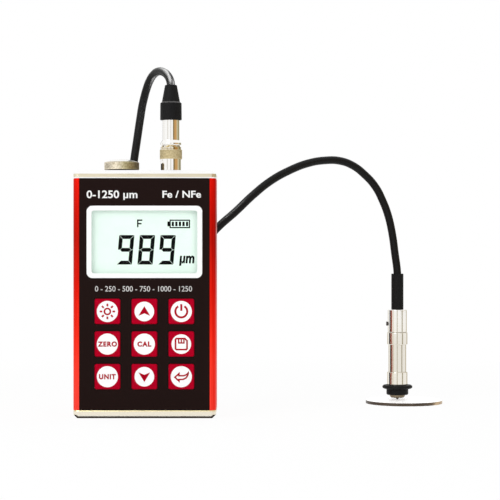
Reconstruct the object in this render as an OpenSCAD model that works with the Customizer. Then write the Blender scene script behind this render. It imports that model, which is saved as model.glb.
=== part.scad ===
// Coating thickness gauge: an upright handheld instrument in an extruded housing between two end plates,
// with a plug-in spring-loaded probe on a cord, standing on its round steel zero plate.
// The origin is the centre of the gauge's base face, +X to its right, +Y to its back and +Z up.

/* [Body] */
// Width of the gauge across its front
body_w = 76; // [75:0.5:90]
// Depth of the gauge from front to back
body_d = 30; // [30:0.5:40]
// Height of the gauge over both end plates
body_h = 132; // [130:0.5:150]
// Radius of the four upright corners
corner_r = 3; // [2:0.1:4]
// Wall of the extruded housing at its sides and back
wall = 2; // [1.6:0.1:2.2]
// Wall of the extruded housing behind the front panel
front_wall = 1.8; // [1.4:0.1:1.9]
// Thickness of each end plate
plate_t = 4.5; // [4.2:0.1:6]
// Bevel round the outer edge of each end plate
plate_bevel = 2; // [1:0.1:2.5]
// Depth of the fine bevel where an end plate meets the housing
seam_bevel = 0.3; // [0.2:0.05:0.5]
// Height of that bevel
seam_rise = 0.7; // [0.5:0.1:1]
// Gap all round between pieces that seat in each other
fit = 0.05; // [0.02:0.01:0.1]

/* [End plate screws] */
// Diameter of the screw's thread
screw_d = 2.5; // [2:0.1:2.8]
// Diameter of the countersunk head
screw_head_d = 4.7; // [4.2:0.1:5]
// Height of the countersunk head
screw_head_h = 1.4; // [1.2:0.1:1.6]
// Length of the screw with its head
screw_len = 12; // [9:0.5:16]
// Diameter of the round channel wall that the screw cuts into
channel_d = 5.2; // [4.8:0.1:5.4]

/* [Front panel] */
// Width of the housing's coloured edge left on each side of the panel
edge_strip = 3.4; // [3:0.1:3.6]
// Thickness of the panel sheet
panel_t = 1; // [0.8:0.1:1.2]

/* [Display] */
// Height of the display glass
lcd_h = 41.5; // [41:0.1:42.5]
// How far the front wall laps over each end of the display glass
lcd_lap_w = 1.9; // [1.5:0.1:2.5]
// How far the front wall laps over the top and bottom of the display glass
lcd_lap_h = 4.05; // [3.5:0.05:4.5]
// Width of the pale frame at the sides of its opening
frame_side = 2.6; // [2:0.1:3.2]
// Width of the pale frame over and under its opening
frame_end = 2.5; // [2:0.1:3]
// Outer corner radius of the frame
frame_r = 3.1; // [2:0.1:4]
// How far the frame stands out of the panel
frame_proud = 0.25; // [0.1:0.05:0.5]
// Corner radius of the frame's opening
window_r = 1.5; // [1:0.1:2]
// Drop from the top of the gauge to the middle of the display
display_drop = 38.2; // [37:0.1:40]
// Thickness of the clear window pane
pane_t = 1.5; // [1:0.1:1.7]
// Thickness of the display glass
lcd_t = 2; // [1.8:0.1:2.4]
// Thickness of the light guide behind the glass
backlight_t = 1.6; // [1.5:0.1:2]

/* [Keys] */
// Width of a key
key_w = 13.6; // [12.5:0.1:14.4]
// Height of a key
key_h = 13.4; // [12.5:0.1:14]
// Corner radius of a key
key_r = 1; // [0.5:0.1:1.5]
// Bevel round a key's face
key_bevel = 0.4; // [0.2:0.1:0.5]
// Spacing of the columns
key_pitch_x = 19.6; // [18.5:0.1:20]
// Spacing of the rows
key_pitch_z = 17.3; // [17:0.1:18]
// Height of the middle row above the base
key_mid_z = 39.6; // [38.5:0.1:40.5]
// How far a key stands out of the panel
key_proud = 0.6; // [0.4:0.1:1]
// How far a key travels
key_travel = 0.6; // [0.3:0.1:0.7]
// Gap round a key in its hole
key_gap = 0.2; // [0.15:0.05:0.3]

/* [Battery] */
// Distance of the battery cap to the left of the middle
battery_x = 13.3; // [12.5:0.1:14]
// Diameter of one cell
cell_d = 14.2; // [13.8:0.1:14.5]
// Length of one cell over its pole
cell_len = 50.5; // [49:0.1:50.5]
// Diameter of the battery cap
cap_d = 18.8; // [18.4:0.1:20]
// Height of the battery cap's rim above the plate
cap_h = 5.1; // [4.5:0.1:7]
// Rise of the battery cap's domed top over its rim
cap_dome = 1.6; // [1.2:0.1:2.4]
// Pitch of the cap's thread
cap_pitch = 1; // [0.8:0.1:1.2]

/* [Plug] */
// Distance of the probe socket to the right of the middle
plug_x = 13.3; // [12.5:0.1:14]
// Diameter of the coupling ring's skirt
ring_d = 11.2; // [11.1:0.1:11.6]
// Diameter of the coupling ring's knurled band
ring_grip_d = 12; // [11.8:0.1:12.8]
// Diameter of the plug's barrel
plug_barrel_d = 9.5; // [9:0.1:10.5]
// Length of the plug's barrel above its shoulder
plug_barrel_len = 11; // [9:0.5:14]
// Diameter of the boot's collar
boot_d = 11.7; // [10.8:0.1:12]
// Length of the boot's collar
boot_collar_len = 9.3; // [8.5:0.1:11]
// Length of the boot's tapered tail
boot_tail_len = 9.7; // [8:0.1:12]

/* [Probe] */
// Distance of the probe to the right of the gauge's middle
probe_x = 142.5; // [140:0.5:145]
// Distance of the probe behind the gauge's middle
probe_y = 80; // [79:0.5:81]
// Diameter of the zero plate
zero_plate_d = 44.5; // [40:0.5:55]
// Thickness of the zero plate
zero_plate_t = 2; // [1.5:0.1:3]
// How far the zero plate's middle lies to the right of the probe
zero_plate_right = 3.5; // [0:0.1:6]
// How far the zero plate's middle lies in front of the probe
zero_plate_front = 4; // [0:0.1:6]
// Diameter of the probe's barrel
probe_d = 10.5; // [10.4:0.1:10.9]
// Diameter of the probe's lower sleeve
probe_foot_d = 12; // [11.2:0.1:12.4]
// Diameter of the probe's cap
probe_cap_d = 11.3; // [11:0.1:12]
// Diameter of the probe's lock ring
probe_ring_d = 12; // [11.4:0.1:12.4]
// Diameter of the soft collar's brim
collar_d = 17.6; // [16:0.1:20]
// Diameter of the measuring plunger
plunger_d = 9; // [8.8:0.1:9.2]
// How far the plunger is pushed in
plunger_travel = 2.5; // [1.5:0.1:3]
// Diameter of the shrunk sleeve on the cord
sleeve_d = 7.1; // [6:0.1:8]
// Length of the shrunk sleeve
sleeve_len = 21; // [16:0.5:26]

/* [Cord] */
// Diameter of the probe's cord
cord_d = 4.5; // [3.6:0.1:4.8]

/* [Hidden] */
$fn = 64;

// Extra length of a cutting shape past the face it leaves through
past = 1;

// Planes of the housing, front to back
front_y = -body_d / 2;
panel_back_y = front_y + panel_t;
wall_back_y = panel_back_y + front_wall;
inner_back_y = body_d / 2 - wall;
inner_w = body_w - 2 * wall;
panel_w = body_w - 2 * edge_strip;
housing_z = plate_t;
housing_top = body_h - plate_t;
housing_h = housing_top - housing_z;

// Screw channels, clear of the end plates' bevels
screw_margin_x = 0.4;
screw_margin_y = 1;
screw_x = body_w / 2 - plate_bevel - screw_head_d / 2 - screw_margin_x;
screw_y = body_d / 2 - plate_bevel - screw_head_d / 2 - screw_margin_y;
screw_sink = 0.15;
hex_across = 1.75;
hex_depth = 1;

// Display stack and the board behind it, as wide as the room between the screw channels
display_z = body_h - display_drop;
board_side_gap = 0.35;
board_w = 2 * (screw_x - channel_d / 2 - board_side_gap);
board_r = 1;
lcd_inset = 0.3;
lcd_w = board_w - 2 * lcd_inset;
window_w = lcd_w - 2 * lcd_lap_w;
window_h = lcd_h - 2 * lcd_lap_h;
frame_w = window_w + 2 * frame_side;
frame_h = window_h + 2 * frame_end;
frame_soft = 0.2;
pane_lip = 1;
lcd_front_y = wall_back_y;
lcd_back_y = lcd_front_y + lcd_t;
board_front_y = lcd_back_y + backlight_t;
board_t = 1.6;
board_back_y = board_front_y + board_t;
board_gap = 2.5;
strip_end_gap = 3;
strip_w = lcd_w - 2 * strip_end_gap;
strip_h = 2;
strip_r = 0.3;
strip_inset = 1;
backlight_inset = 1.5;
backlight_w = lcd_w - 2 * backlight_inset;
backlight_gap = 0.5;

// Standoffs of the board: over the display, between display and keys, and under the keys
standoff_inset = 4.3;
standoff_x = board_w / 2 - standoff_inset;
standoff_d = 4.4;
standoff_shank_d = 3;
standoff_low_z = 10;
standoff_under = 3.5;
standoff_over = 5;
standoff_z = [standoff_low_z, display_z - lcd_h / 2 - standoff_under, display_z + lcd_h / 2 + standoff_over];
board_screw_end = 0.4;
board_screw_d = 2;
board_screw_head_d = 3.8;
board_screw_head_h = 1.3;

// Keys: the lip rests behind the front wall and the stem reaches into its switch
key_lip = 0.9;
key_lip_t = 1;
key_rest_gap = fit;
key_lip_front_y = wall_back_y + key_rest_gap;
key_lip_back_y = key_lip_front_y + key_lip_t;
key_front_y = front_y - key_proud;
key_stem_d = 3.2;
stem_room = 0.1;
switch_w = 6;
switch_r = 0.5;
switch_gap = 0.35;
switch_h = board_front_y - key_lip_back_y - key_travel - switch_gap;
switch_front_y = board_front_y - switch_h;
stem_reach = 0.3;
stem_end_y = switch_front_y + stem_reach;
switch_floor = 0.2;

// Battery tube, standing between the end plates, and its screw cap
axis_to_back = 11;
axis_y = inner_back_y - axis_to_back;
cell_room = 0.3;
tube_r = cell_d / 2 + cell_room;
tube_wall = 1.1;
tube_neck_sink = 0.7;
tube_neck_top = body_h - tube_neck_sink;
tube_rim = 1.1;
tube_rim_r = tube_r + tube_wall + tube_rim;
tube_rim_t = 1.5;
cap_gap = 0.1;
cap_bottom = body_h + cap_gap;
cap_top = body_h + cap_h;
cap_bevel = 0.4;
cap_knurls = 60;
knurl_depth = 0.25;
knurl_root = 0.1;
dome_steps = 12;
coin_slot_len = 13;
coin_slot_w = 2;
spigot_r = tube_r - fit;
cap_turns = 5;
spigot_lead = 0.8;
spigot_len = cap_turns * cap_pitch + spigot_lead;
spigot_bottom = cap_bottom - spigot_len;
cap_bore_r = 6;
cap_bore_len = 4.3;
cap_bore_top = spigot_bottom + cap_bore_len;
contact_room = 0.1;
contact_r = cap_bore_r - contact_room;
contact_t = 1.1;
contact_top = cap_bore_top - fit;
contact_bottom = contact_top - contact_t;
rivet_r = 1;
rivet_len = 1.5;
battery_spring_len = 8.8;
battery_spring_r = 4.2;
battery_spring_wire = 0.9;
battery_spring_turns = 5;
spring_steps = 14;
spring_sides = 8;
cells_top = contact_bottom - battery_spring_len;
cell_nub_r = 2.7;
cell_nub_h = 1;
cell_soft = 0.5;
cell_gap = 0.02;
cell_pitch = cell_len + cell_gap;
cells_bottom = cells_top - cell_len - cell_pitch;
base_contact_t = 0.8;
base_contact_r = 5;
base_top = cells_bottom - base_contact_t;
lead_d = 1;
lead_sides = 8;
lead_rise = [5, 8];
lead_hole_z = [for (rise = lead_rise) housing_z + rise];
lead_gap = 0.1;
lead_bend = 2;
seal_wire_r = 0.33;
seal_r = (spigot_r + tube_r + tube_wall) / 2;

// Socket, on the plug's upright axis
socket_flange_r = 6.7;
socket_flange_sink = 1;
socket_flange_rise = 0.1;
socket_flange_top = body_h + socket_flange_rise;
socket_shank_r = 5.5;
socket_depth = 10.5;
socket_bottom = body_h - socket_depth;
socket_barrel_r = 4.65;
socket_bore_r = 3.95;
socket_rise = 6;
socket_top = body_h + socket_rise;
socket_insert_rise = 1;
socket_insert_top = body_h + socket_insert_rise;
nut_h = 3;
nut_across = 13;

// Coupling ring, its bayonet slots and the socket's lugs
ring_gap = 0.4;
ring_bottom = body_h + ring_gap;
ring_skirt_len = 6.2;
ring_band_bottom = ring_bottom + ring_skirt_len;
ring_band_len = 5;
ring_band_top = ring_band_bottom + ring_band_len;
ring_lip_len = 0.6;
ring_top = ring_band_top + ring_lip_len;
ring_rim_h = 0.9;
ring_rim_wall = 0.5;
ring_bore_len = 8.4;
ring_roof = ring_bottom + ring_bore_len;
ring_play = 0.1;
ring_bore_r = socket_barrel_r + ring_play;
ring_knurls = 44;
slot_w = 1.8;
slot_turn = 60;
slot_angle = 208;
slot_depth = 0.55;
slot_overlap = 0.4;
slot_rise = 1.8;
slot_z = ring_bottom + slot_rise;
lug_r = 0.7;
lug_reach = 0.45;
lug_root = 0.3;
lug_z = slot_z + slot_w / 2;
lug_angle = atan(slot_w / 2 / ring_bore_r);

// Wavy washer between the ring and the plug's shoulder
wave_room = 1.8;
wave_r = ring_d / 2 - ring_rim_wall - ring_play;
wave_t = 0.4;
wave_count = 3;
wave_steps = 48;

// Plug, its snap ring, insert and pins
neck_r = 4;
plug_play = 0.1;
plug_sleeve_r = socket_bore_r - plug_play;
plug_gap = 0.4;
plug_sleeve_bottom = socket_insert_top + plug_gap;
clip_drop = 1.3;
clip_z = ring_roof - clip_drop;
clip_land = 0.5;
clip_t = 0.9;
clip_groove_r = 3.7;
clip_r = 4.5;
clip_opening = 2;
shoulder_z = ring_top + wave_room;
shoulder_r = 5.75;
shoulder_h = 2.7;
barrel_z = shoulder_z + shoulder_h;
boot_z = barrel_z + plug_barrel_len;
tail_r = 3.4;
tail_len = 7;
insert_r = 3.2;
insert_rise = 1.3;
insert_top = barrel_z + insert_rise;
cord_bore_r = cord_d / 2 + fit;
boot_step = boot_z + boot_collar_len;
boot_top = boot_step + boot_tail_len;
boot_tail_r = 4.95;
boot_end_r = 3.2;
boot_soft = 0.4;
pin_r = 0.4;
pin_ring_r = 1.9;
pin_count = 5;
pin_depth = 5;
pin_bottom = body_h - pin_depth;
pin_sink = 2;
pin_top = insert_top - pin_sink;

// Probe, upright on the zero plate
zero_plate_soft = 0.2;
tip_gap = 0.02;
tip_r = 0.8;
tip_bottom = zero_plate_t + tip_gap;
tip_proud = 1;
nose_bottom = tip_bottom + tip_proud;
nose_bevel = 0.8;
nose_len = 1.7;
collar_bottom = nose_bottom + nose_len;
collar_foot_len = 4.6;
collar_brim_z = collar_bottom + collar_foot_len;
collar_crown = 1.3;
collar_top = collar_brim_z + collar_crown;
collar_foot_r = 6.4;
collar_bevel = 0.5;
brim_edge = 0.6;
brim_upper = 0.8;
brim_lower = 0.5;
brim_flare = 1.4;
collar_spigot_len = 4;
collar_spigot_top = collar_top + collar_spigot_len;
foot_z = collar_top;
foot_len = 7.5;
foot_top = foot_z + foot_len;
probe_barrel_len = 16;
barrel_top = foot_top + probe_barrel_len;
lock_ring_len = 7.2;
probe_cap_z = barrel_top + lock_ring_len;
probe_cap_len = 13.3;
probe_cap_top = probe_cap_z + probe_cap_len;
edge_soft = 0.4;
probe_wall = 0.5;
probe_bore_r = probe_d / 2 - probe_wall;
neck_wall = 0.2;
probe_neck_r = probe_d / 2 - neck_wall;
probe_neck_len = 3;
probe_neck_top = barrel_top + probe_neck_len;
plunger_r = plunger_d / 2;
plunger_gap = 0.1;
plunger_stop_r = probe_bore_r - fit;
plunger_stop_z = collar_spigot_top + fit;
plunger_stop_t = 1.8;
spring_closed_len = 5.65;
plunger_top = probe_neck_top - plunger_travel - spring_closed_len;
plunger_wall = 1.1;
plunger_floor = 2.6;
core_r = 1.2;
coil_r = plunger_r - plunger_wall - fit;
coil_flange = 0.5;
coil_flange_t = 0.8;
core_bottom = nose_bottom + plunger_floor;
core_len = 17;
coil_inset = 1;
probe_spring_wire = 0.7;
probe_spring_r = 3.5;
probe_spring_turns = 4;
sleeve_top = probe_cap_top + sleeve_len;
sleeve_soft = 0.3;
cord_grip = 3;
cord_end = probe_cap_top - cord_grip;
probe_lead_r = 1;
set_screw_rise = 5;
set_screw_z = probe_cap_z + set_screw_rise;
set_screw_head_r = 1.2;
set_screw_head_h = 0.9;
set_screw_slot = 0.4;
set_screw_r = 0.75;
set_screw_end = 3.2;

// Route of the cord: up out of the boot, over and down behind the gauge, then in an arch across to the probe
cord_sides = 10;
cord_route = [
  [plug_x, axis_y, boot_z + tail_len],
  [plug_x, axis_y, boot_top],
  [12.7, 2.8, 181.6], [11.3, 5, 184.2], [9.1, 8.9, 186.3], [6.1, 13.8, 187.3], [3.1, 18.8, 186.2],
  [0.6, 22.8, 183.2], [-1.3, 25.8, 179], [-2.7, 27.4, 174.5], [-3.9, 28.2, 169.5], [-4.9, 28.5, 163.5],
  [-6.9, 28.5, 150], [-8.6, 28.5, 138], [-10, 28.5, 120], [-10.2, 28.5, 104],
  [-7.5, 28.5, 89], [0, 28.5, 78], [11, 29, 74.5], [21.5, 29.5, 81], [29.5, 30, 92], [37.5, 31, 101.5],
  [48, 34, 111], [58, 38, 120.6], [68, 43, 128.7], [78.5, 48, 134.7], [89, 54, 139], [99, 60, 141],
  [108, 65, 141], [115.5, 69, 138.6], [122.6, 73, 133.6], [129.2, 76, 126.6], [133.6, 78, 118.6],
  [137, 79.3, 109.8], [139.4, 80, 99.5], [141, 80, 88],
  [probe_x, probe_y, sleeve_top],
  [probe_x, probe_y, cord_end]];

// Direction of a route at each of its points, and a side direction carried along it without twist
function unit(v) = v / norm(v);
function square_to(v, t) = unit(v - t * (v * t));
function tangents(path) =
  let (last = len(path) - 1)
  [for (i = [0:last]) unit(path[min(i + 1, last)] - path[max(i - 1, 0)])];
function sides_along(tans) =
  [for (i = 0, n = square_to([1, 0.3, 0.2], tans[0]); i < len(tans);
        i = i + 1, n = i < len(tans) ? square_to(n, tans[i]) : n) n];
function tube_rings(path, r, sides) =
  let (tans = tangents(path), outs = sides_along(tans))
  [for (i = [0:len(path) - 1])
    let (across = cross(tans[i], outs[i]))
    [for (k = [0:sides - 1])
      path[i] + r * (cos(360 * k / sides) * outs[i] + sin(360 * k / sides) * across)]];
function helix(r, z0, z1, turns, steps) =
  [for (i = [0:turns * steps])
    [r * cos(360 * i / steps), r * sin(360 * i / steps), z0 + (z1 - z0) * i / (turns * steps)]];

// Closed surface over rings of points, capped at its ends or joined into a loop
module skin(rings, looped = false) {
  n = len(rings[0]);
  m = len(rings);
  spans = looped ? m : m - 1;
  walls = [for (i = [0:spans - 1], k = [0:n - 1])
    let (a = i * n, b = ((i + 1) % m) * n, j = (k + 1) % n)
    [a + k, b + k, b + j, a + j]];
  caps = looped ? [] : [[for (k = [0:n - 1]) k], [for (k = [n - 1:-1:0]) (m - 1) * n + k]];
  polyhedron(points = [for (ring = rings, p = ring) p], faces = concat(walls, caps), convexity = 8);
}

module tube(path, d, sides) {
  skin(tube_rings(path, d / 2, sides));
}

module rounded_rect(w, h, r) {
  square([w - 2 * r, h], center = true);
  square([w, h - 2 * r], center = true);
  for (sx = [-1, 1], sy = [-1, 1]) translate([sx * (w / 2 - r), sy * (h / 2 - r)]) circle(r);
}

// Upright outline from the middle out to an edge, bevelled at 45 degrees above,
// and below by a depth and a rise where asked
function edge_outline(reach, t, top, below) = concat(
  [[0, 0]], below[0] > 0 ? [[reach - below[0], 0], [reach, below[1]]] : [[reach, 0]],
  [[reach, t - top], [reach - top, t], [0, t]]);

// Rounded slab with a bevelled upper edge, and a lower one where asked
module bevelled_slab(w, h, t, r, top, below = [0, 0]) {
  rotate([90, 0, 0]) linear_extrude(h - 2 * r, center = true)
    for (side = [0, 1]) mirror([side, 0]) polygon(edge_outline(w / 2, t, top, below));
  rotate([90, 0, 90]) linear_extrude(w - 2 * r, center = true)
    for (side = [0, 1]) mirror([side, 0]) polygon(edge_outline(h / 2, t, top, below));
  for (sx = [-1, 1], sy = [-1, 1]) translate([sx * (w / 2 - r), sy * (h / 2 - r), 0])
    rotate_extrude() polygon(edge_outline(r, t, top, below));
}

// Places a shape on an upright plane, its own +Z facing the front
module on_front(y, x, z) {
  translate([x, y, z]) rotate([90, 0, 0]) children();
}

// Upright rounded slab between two depths
module front_slab(w, h, r, y0, y1, x, z) {
  on_front(y1, x, z) linear_extrude(y1 - y0) rounded_rect(w, h, r);
}

// Band of straight knurls
module knurled_band(d, z0, z1, knurls) {
  r = d / 2;
  translate([0, 0, z0]) linear_extrude(z1 - z0)
    polygon([for (i = [0:2 * knurls - 1])
      (r - (i % 2) * knurl_depth) * [cos(180 * i / knurls), sin(180 * i / knurls)]]);
}

module at_screws() {
  for (sx = [-1, 1], sy = [-1, 1]) translate([sx * screw_x, sy * screw_y, 0]) children();
}

module at_keys() {
  for (col = [-1:1], row = [-1:1]) on_front(0, col * key_pitch_x, key_mid_z + row * key_pitch_z) children();
}

module at_standoffs() {
  for (sx = [-1, 1], z = standoff_z) translate([sx * standoff_x, 0, z]) rotate([-90, 0, 0]) children();
}

module at_battery() {
  translate([-battery_x, axis_y, 0]) children();
}

module at_plug() {
  translate([plug_x, axis_y, 0]) children();
}

module at_probe() {
  translate([probe_x, probe_y, 0]) children();
}

module at_pins() {
  for (i = [0:pin_count - 1]) rotate(360 * i / pin_count) translate([pin_ring_r, 0, 0]) children();
}

// One channel wall with its webs to the side and to the front or back
module screw_channel(sx, sy) {
  r = channel_d / 2;
  reach_x = body_w / 2 - wall / 2;
  reach_y = sy > 0 ? inner_back_y + wall / 2 : -wall_back_y + front_wall / 2;
  scale([sx, sy]) {
    translate([screw_x, screw_y]) circle(r);
    translate([screw_x, screw_y - r]) square([reach_x - screw_x, 2 * r]);
    translate([screw_x - r, screw_y]) square([2 * r, reach_y - screw_y]);
  }
}

module housing_profile() {
  difference() {
    rounded_rect(body_w, body_d, corner_r);
    translate([-panel_w / 2 - fit, front_y - past]) square([panel_w + 2 * fit, panel_t + past]);
    difference() {
      translate([-inner_w / 2, wall_back_y]) square([inner_w, inner_back_y - wall_back_y]);
      for (sx = [-1, 1], sy = [-1, 1]) screw_channel(sx, sy);
    }
    at_screws() circle(screw_d / 2 + fit);
  }
}

module key_holes() {
  at_keys() translate([0, 0, -wall_back_y - past]) linear_extrude(body_d)
    rounded_rect(key_w + 2 * key_gap, key_h + 2 * key_gap, key_r + key_gap);
}

module housing() {
  pane_w = window_w + 2 * pane_lip + 2 * fit;
  pane_h = window_h + 2 * pane_lip + 2 * fit;
  color("firebrick") difference() {
    translate([0, 0, housing_z]) linear_extrude(housing_h) housing_profile();
    front_slab(pane_w, pane_h, window_r, front_y - past, wall_back_y + past, 0, display_z);
    key_holes();
    at_standoffs() translate([0, 0, panel_back_y - past])
      cylinder(h = front_wall + 2 * past, d = standoff_shank_d + 2 * fit);
  }
}

// Blank of an end plate lying on its inner face, with countersunk screw holes
module end_plate_blank() {
  difference() {
    bevelled_slab(body_w, body_d, plate_t, corner_r, plate_bevel, [seam_bevel, seam_rise]);
    at_screws() {
      translate([0, 0, -past]) cylinder(h = plate_t, d = screw_d + 2 * fit);
      screw_head(fit);
    }
  }
}

// Countersunk head sunk in the plate, with some room all round
module screw_head(room) {
  top = plate_t - screw_sink;
  translate([0, 0, top - screw_head_h])
    cylinder(h = screw_head_h, d1 = screw_d + 2 * room, d2 = screw_head_d + 2 * room);
  if (room > 0) translate([0, 0, top]) cylinder(h = screw_sink + past, d = screw_head_d + 2 * room);
}

module end_screws() {
  top = plate_t - screw_sink;
  at_screws() difference() {
    union() {
      screw_head(0);
      translate([0, 0, top - screw_len]) cylinder(h = screw_len - screw_head_h, d = screw_d);
    }
    translate([0, 0, top - hex_depth]) cylinder(h = hex_depth + past, d = hex_across, $fn = 6);
  }
}

module top_plate() {
  color("lightgray") difference() {
    translate([0, 0, housing_top]) end_plate_blank();
    at_battery() translate([0, 0, housing_top - past])
      cylinder(h = plate_t + 2 * past, r = tube_r + tube_wall + fit);
    at_plug() {
      translate([0, 0, housing_top - past]) cylinder(h = plate_t + 2 * past, r = socket_shank_r + fit);
      translate([0, 0, body_h - socket_flange_sink])
        cylinder(h = socket_flange_sink + past, r = socket_flange_r + fit);
    }
  }
}

module bottom_plate() {
  color("lightgray") translate([0, 0, plate_t]) rotate([180, 0, 0]) end_plate_blank();
}

module top_plate_screws() {
  color("gray") translate([0, 0, housing_top]) end_screws();
}

module bottom_plate_screws() {
  color("gray") translate([0, 0, plate_t]) rotate([180, 0, 0]) end_screws();
}

module front_panel() {
  color("#241816") difference() {
    translate([-panel_w / 2, front_y, housing_z]) cube([panel_w, panel_t, housing_h]);
    front_slab(frame_w + 2 * fit, frame_h + 2 * fit, frame_r,
      front_y - past, panel_back_y + past, 0, display_z);
    key_holes();
  }
}

module display_frame() {
  color("white") difference() {
    on_front(panel_back_y, 0, display_z)
      bevelled_slab(frame_w, frame_h, panel_t + frame_proud, frame_r, frame_soft);
    front_slab(window_w, window_h, window_r, front_y - past, panel_back_y + past, 0, display_z);
  }
}

module display_window() {
  color("azure") front_slab(window_w + 2 * pane_lip, window_h + 2 * pane_lip, window_r,
    panel_back_y, panel_back_y + pane_t, 0, display_z);
}

module lcd_glass() {
  color("honeydew") front_slab(lcd_w, lcd_h, pane_lip, lcd_front_y, lcd_back_y, 0, display_z);
}

module lcd_backlight() {
  clear_h = lcd_h - 2 * (strip_inset + strip_h + backlight_gap);
  color("ivory") front_slab(backlight_w, clear_h, pane_lip, lcd_back_y, board_front_y, 0, display_z);
}

module lcd_connectors() {
  color("#333333") for (s = [-1, 1])
    front_slab(strip_w, strip_h, strip_r, lcd_back_y, board_front_y, 0,
      display_z + s * (lcd_h / 2 - strip_inset - strip_h / 2));
}

module main_board() {
  bottom = housing_z + board_gap;
  h = housing_h - 2 * board_gap;
  color("darkgreen") difference() {
    front_slab(board_w, h, board_r, board_front_y, board_back_y, 0, bottom + h / 2);
    at_standoffs() translate([0, 0, board_front_y - past])
      cylinder(h = board_t + 2 * past, d = board_screw_d + 2 * fit);
  }
}

module board_standoffs() {
  color("silver") at_standoffs() difference() {
    union() {
      translate([0, 0, panel_back_y]) cylinder(h = front_wall, d = standoff_shank_d);
      translate([0, 0, wall_back_y]) cylinder(h = board_front_y - wall_back_y, d = standoff_d);
    }
    translate([0, 0, wall_back_y]) cylinder(h = body_d, d = board_screw_d + 2 * fit);
  }
}

module board_screws() {
  color("gray") at_standoffs() {
    translate([0, 0, wall_back_y + board_screw_end])
      cylinder(h = board_back_y - wall_back_y, d = board_screw_d);
    translate([0, 0, board_back_y]) cylinder(h = board_screw_head_h, d = board_screw_head_d);
  }
}

// Chips and connectors on the board's back: place across, height, width, length and thickness
chips = [
  [16, 62, 12, 12, 1.6], [18, 84, 9, 7, 1.5], [23, 45, 6, 5, 1.4], [7, 40, 5, 5, 2.5], [6, 74, 4, 6, 2]];
chip_r = 0.3;
probe_header = [14, 103, 12, 5, 3.5];
battery_header = [5, 18, 7, 5, 3.5];
buzzer = [20, 26, 12, 6];

module board_components() {
  color("#222222") {
    for (c = concat(chips, [probe_header, battery_header]))
      front_slab(c[2], c[3], chip_r, board_back_y, board_back_y + c[4], c[0], c[1]);
    on_front(board_back_y + buzzer[3], buzzer[0], buzzer[1]) cylinder(h = buzzer[3], d = buzzer[2]);
  }
}

// One key cap with its retaining lip and stem
module key_cap(col, row) {
  color("crimson") on_front(key_lip_back_y, col * key_pitch_x, key_mid_z + row * key_pitch_z) {
    linear_extrude(key_lip_t) rounded_rect(key_w + 2 * key_lip, key_h + 2 * key_lip, key_r + key_lip);
    bevelled_slab(key_w, key_h, key_lip_back_y - key_front_y, key_r, key_bevel);
    mirror([0, 0, 1]) cylinder(h = stem_end_y - key_lip_back_y, d = key_stem_d);
  }
}

module key_light() key_cap(-1, 1);
module key_up() key_cap(0, 1);
module key_power() key_cap(1, 1);
module key_zero() key_cap(-1, 0);
module key_cal() key_cap(0, 0);
module key_save() key_cap(1, 0);
module key_unit() key_cap(-1, -1);
module key_down() key_cap(0, -1);
module key_enter() key_cap(1, -1);

module key_switches() {
  color("#444444") at_keys() difference() {
    translate([0, 0, -board_front_y]) linear_extrude(switch_h) rounded_rect(switch_w, switch_w, switch_r);
    translate([0, 0, switch_floor - board_front_y]) cylinder(h = switch_h, d = key_stem_d + 2 * stem_room);
  }
}

// Holes for the two leads, out of the tube's foot to the right
module lead_holes() {
  at_battery() for (z = lead_hole_z) translate([0, 0, z]) rotate([0, 90, 0])
    cylinder(h = tube_r + tube_wall + past, r = lead_d / 2 + lead_gap);
}

module battery_tube() {
  r = tube_r + tube_wall;
  color("darkgray") difference() {
    at_battery() rotate_extrude() polygon([
      [tube_r, housing_z], [r, housing_z], [r, housing_top - tube_rim_t],
      [tube_rim_r, housing_top - tube_rim_t], [tube_rim_r, housing_top], [r, housing_top],
      [r, tube_neck_top], [tube_r, tube_neck_top]]);
    lead_holes();
  }
}

module battery_base() {
  color("#222222") difference() {
    at_battery() translate([0, 0, housing_z]) cylinder(h = base_top - housing_z, r = tube_r - fit);
    lead_holes();
  }
}

module battery_base_contact() {
  color("gold") at_battery() translate([0, 0, base_top]) cylinder(h = base_contact_t, r = base_contact_r);
}

module battery_cells() {
  r = cell_d / 2;
  color("goldenrod") at_battery() for (i = [0, 1])
    translate([0, 0, cells_bottom + i * cell_pitch]) rotate_extrude() polygon([
      [0, 0], [cell_nub_r, 0], [cell_nub_r, cell_nub_h], [r - cell_soft, cell_nub_h],
      [r, cell_nub_h + cell_soft], [r, cell_len - cell_soft], [r - cell_soft, cell_len], [0, cell_len]]);
}

module battery_spring() {
  half = battery_spring_wire / 2 + tip_gap;
  turns = helix(battery_spring_r, cells_top + half, contact_bottom - half,
    battery_spring_turns, spring_steps);
  color("silver") at_battery() tube(turns, battery_spring_wire, spring_sides);
}

// Turned core of the battery cap, with a domed top
module cap_core() {
  rim = cap_d / 2 - knurl_depth - knurl_root;
  edge = rim - cap_bevel;
  dome_r = (edge * edge + cap_dome * cap_dome) / (2 * cap_dome);
  rotate_extrude() polygon(concat(
    [[0, cap_bottom], [edge, cap_bottom], [rim, cap_bottom + cap_bevel], [rim, cap_top - cap_bevel]],
    [for (i = [0:dome_steps])
      let (x = edge * (1 - i / dome_steps))
      [x, cap_top + cap_dome - dome_r + sqrt(dome_r * dome_r - x * x)]]));
}

module battery_cap() {
  color("lightgray") at_battery() difference() {
    union() {
      knurled_band(cap_d, cap_bottom + cap_bevel, cap_top - cap_bevel, cap_knurls);
      cap_core();
      translate([0, 0, spigot_bottom]) cylinder(h = spigot_len + cap_bevel, r = spigot_r);
    }
    translate([0, 0, spigot_bottom - past]) cylinder(h = cap_bore_top - spigot_bottom + past, r = cap_bore_r);
    translate([0, 0, cap_bore_top - past]) cylinder(h = rivet_len + past, r = rivet_r + fit);
    translate([-coin_slot_len / 2, -coin_slot_w / 2, cap_top])
      cube([coin_slot_len, coin_slot_w, cap_dome + past]);
  }
}

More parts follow.
